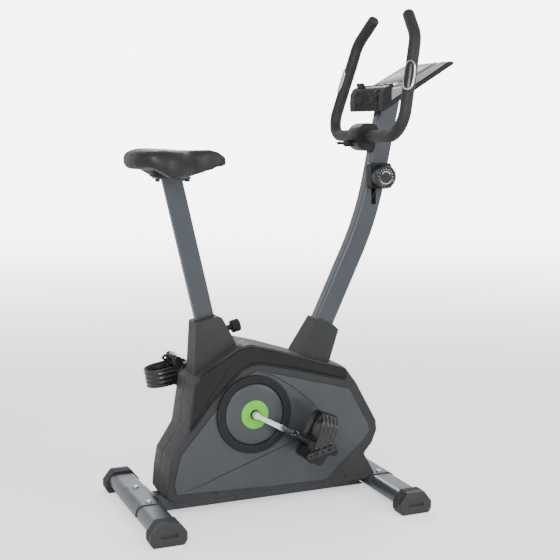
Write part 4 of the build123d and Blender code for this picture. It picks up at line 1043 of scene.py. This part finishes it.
# ------------------------------------------------------------------ studio
FLOOR_R, COVE_R, WALL_TOP = 9, 3, 6
GLOW_NEAR, GLOW_FAR = (1.2, 0.8), (8.5, 6.0)
BOUNCE_GLOW = 0.06
WORLD_COLOUR, WORLD_STRENGTH = (0.93, 0.96, 1, 1), 0.75
LAMP_AIM = (0, 0, 0.6)
LAMPS = (("key", (-2.0, -3.6, 3.0), 1.8, 150), ("fill", (3.2, -3.2, 2.4), 1.8, 60),
         ("back", (1.2, 3.6, 3.2), 2.2, 90))
CAMERA_AT, CAMERA_LENS, CAMERA_SENSOR = (-1.2043, -2.7778, 1.0596), 68.9, 36
CAMERA_YAW, CAMERA_PITCH, CAMERA_ROLL = radians(23.157), radians(-7.941), 0.0045


def maths(nodes, links, operation, first, second, third=None):
    """A Math node; its inputs are sockets or numbers."""
    node = nodes.new("ShaderNodeMath")
    node.operation = operation
    for i, value in enumerate((first, second, third)):
        if isinstance(value, (int, float)):
            node.inputs[i].default_value = value
        elif value:
            links.new(value, node.inputs[i])
    return node.outputs[0]


def floor_paint():
    """Pale paint that glows more with distance, mostly for the camera, so the backdrop runs to white."""
    mat, nodes, links, shader = new_tree("floor_paint")
    links.new(ramp(nodes, links, coords(nodes, links, 0.6), 0.86, 0.88), shader.inputs["Base Color"])
    shader.inputs["Roughness"].default_value = 0.7
    shader.inputs["Emission Color"].default_value = (1, 1, 1, 1)
    where = nodes.new("ShaderNodeTexCoord")
    apart = nodes.new("ShaderNodeVectorMath")
    apart.operation = "LENGTH"
    links.new(where.outputs["Object"], apart.inputs[0])
    reach = nodes.new("ShaderNodeMapRange")
    reach.interpolation_type = "SMOOTHSTEP"
    for end, (distance, glow) in (("Min", GLOW_NEAR), ("Max", GLOW_FAR)):
        reach.inputs[f"From {end}"].default_value = distance
        reach.inputs[f"To {end}"].default_value = glow
    links.new(apart.outputs["Value"], reach.inputs["Value"])
    seen = nodes.new("ShaderNodeLightPath").outputs["Is Camera Ray"]
    direct = maths(nodes, links, "MULTIPLY_ADD", seen, 1 - BOUNCE_GLOW, BOUNCE_GLOW)
    links.new(maths(nodes, links, "MULTIPLY", reach.outputs[0], direct), shader.inputs["Emission Strength"])
    return mat


def studio():
    """A round floor that curves up into a wall, a pale sky and three soft lamps."""
    profile = [(FLOOR_R, 0)]
    for step in range(1, 10):
        a = radians(10 * step)
        profile.append((FLOOR_R + COVE_R * sin(a), COVE_R - COVE_R * cos(a)))
    profile.append((FLOOR_R + COVE_R, WALL_TOP))
    rings = [[Vector((a, b, height)) for a, b in circle(0, 0, radius, 96)] for radius, height in profile]
    floor = bare("floor", *loft(rings, cap_high=False))
    floor.location.z = -0.0005
    floor.data.materials.append(floor_paint())
    world = bpy.data.worlds.new("studio")
    world.use_nodes = True
    sky = world.node_tree.nodes["Background"]
    sky.inputs["Color"].default_value = WORLD_COLOUR
    sky.inputs["Strength"].default_value = WORLD_STRENGTH
    bpy.context.scene.world = world
    for name, place, size, power in LAMPS:
        lamp = bpy.data.lights.new(name, "AREA")
        lamp.shape = "DISK"
        lamp.size = size
        lamp.energy = power
        obj = bpy.data.objects.new(name, lamp)
        obj.location = place
        obj.rotation_euler = (Vector(LAMP_AIM) - Vector(place)).to_track_quat("-Z", "Y").to_euler()
        bpy.context.scene.collection.objects.link(obj)


def camera():
    """A long-lens camera off the bike's right rear, above its middle."""
    cam = bpy.data.cameras.new("camera")
    cam.lens = CAMERA_LENS
    cam.sensor_width = CAMERA_SENSOR
    obj = bpy.data.objects.new("camera", cam)
    obj.location = CAMERA_AT
    obj.rotation_mode = "XYZ"
    yaw, pitch, roll = CAMERA_YAW, CAMERA_PITCH, CAMERA_ROLL
    ahead = Vector((sin(yaw) * cos(pitch), cos(yaw) * cos(pitch), sin(pitch)))
    right = Vector((cos(yaw), -sin(yaw), 0))
    up = right.cross(ahead)
    right, up = right * cos(roll) + up * sin(roll), up * cos(roll) - right * sin(roll)
    obj.rotation_euler = Matrix((right, up, -ahead)).transposed().to_euler()
    bpy.context.scene.collection.objects.link(obj)
    bpy.context.scene.camera = obj


studio()
camera()
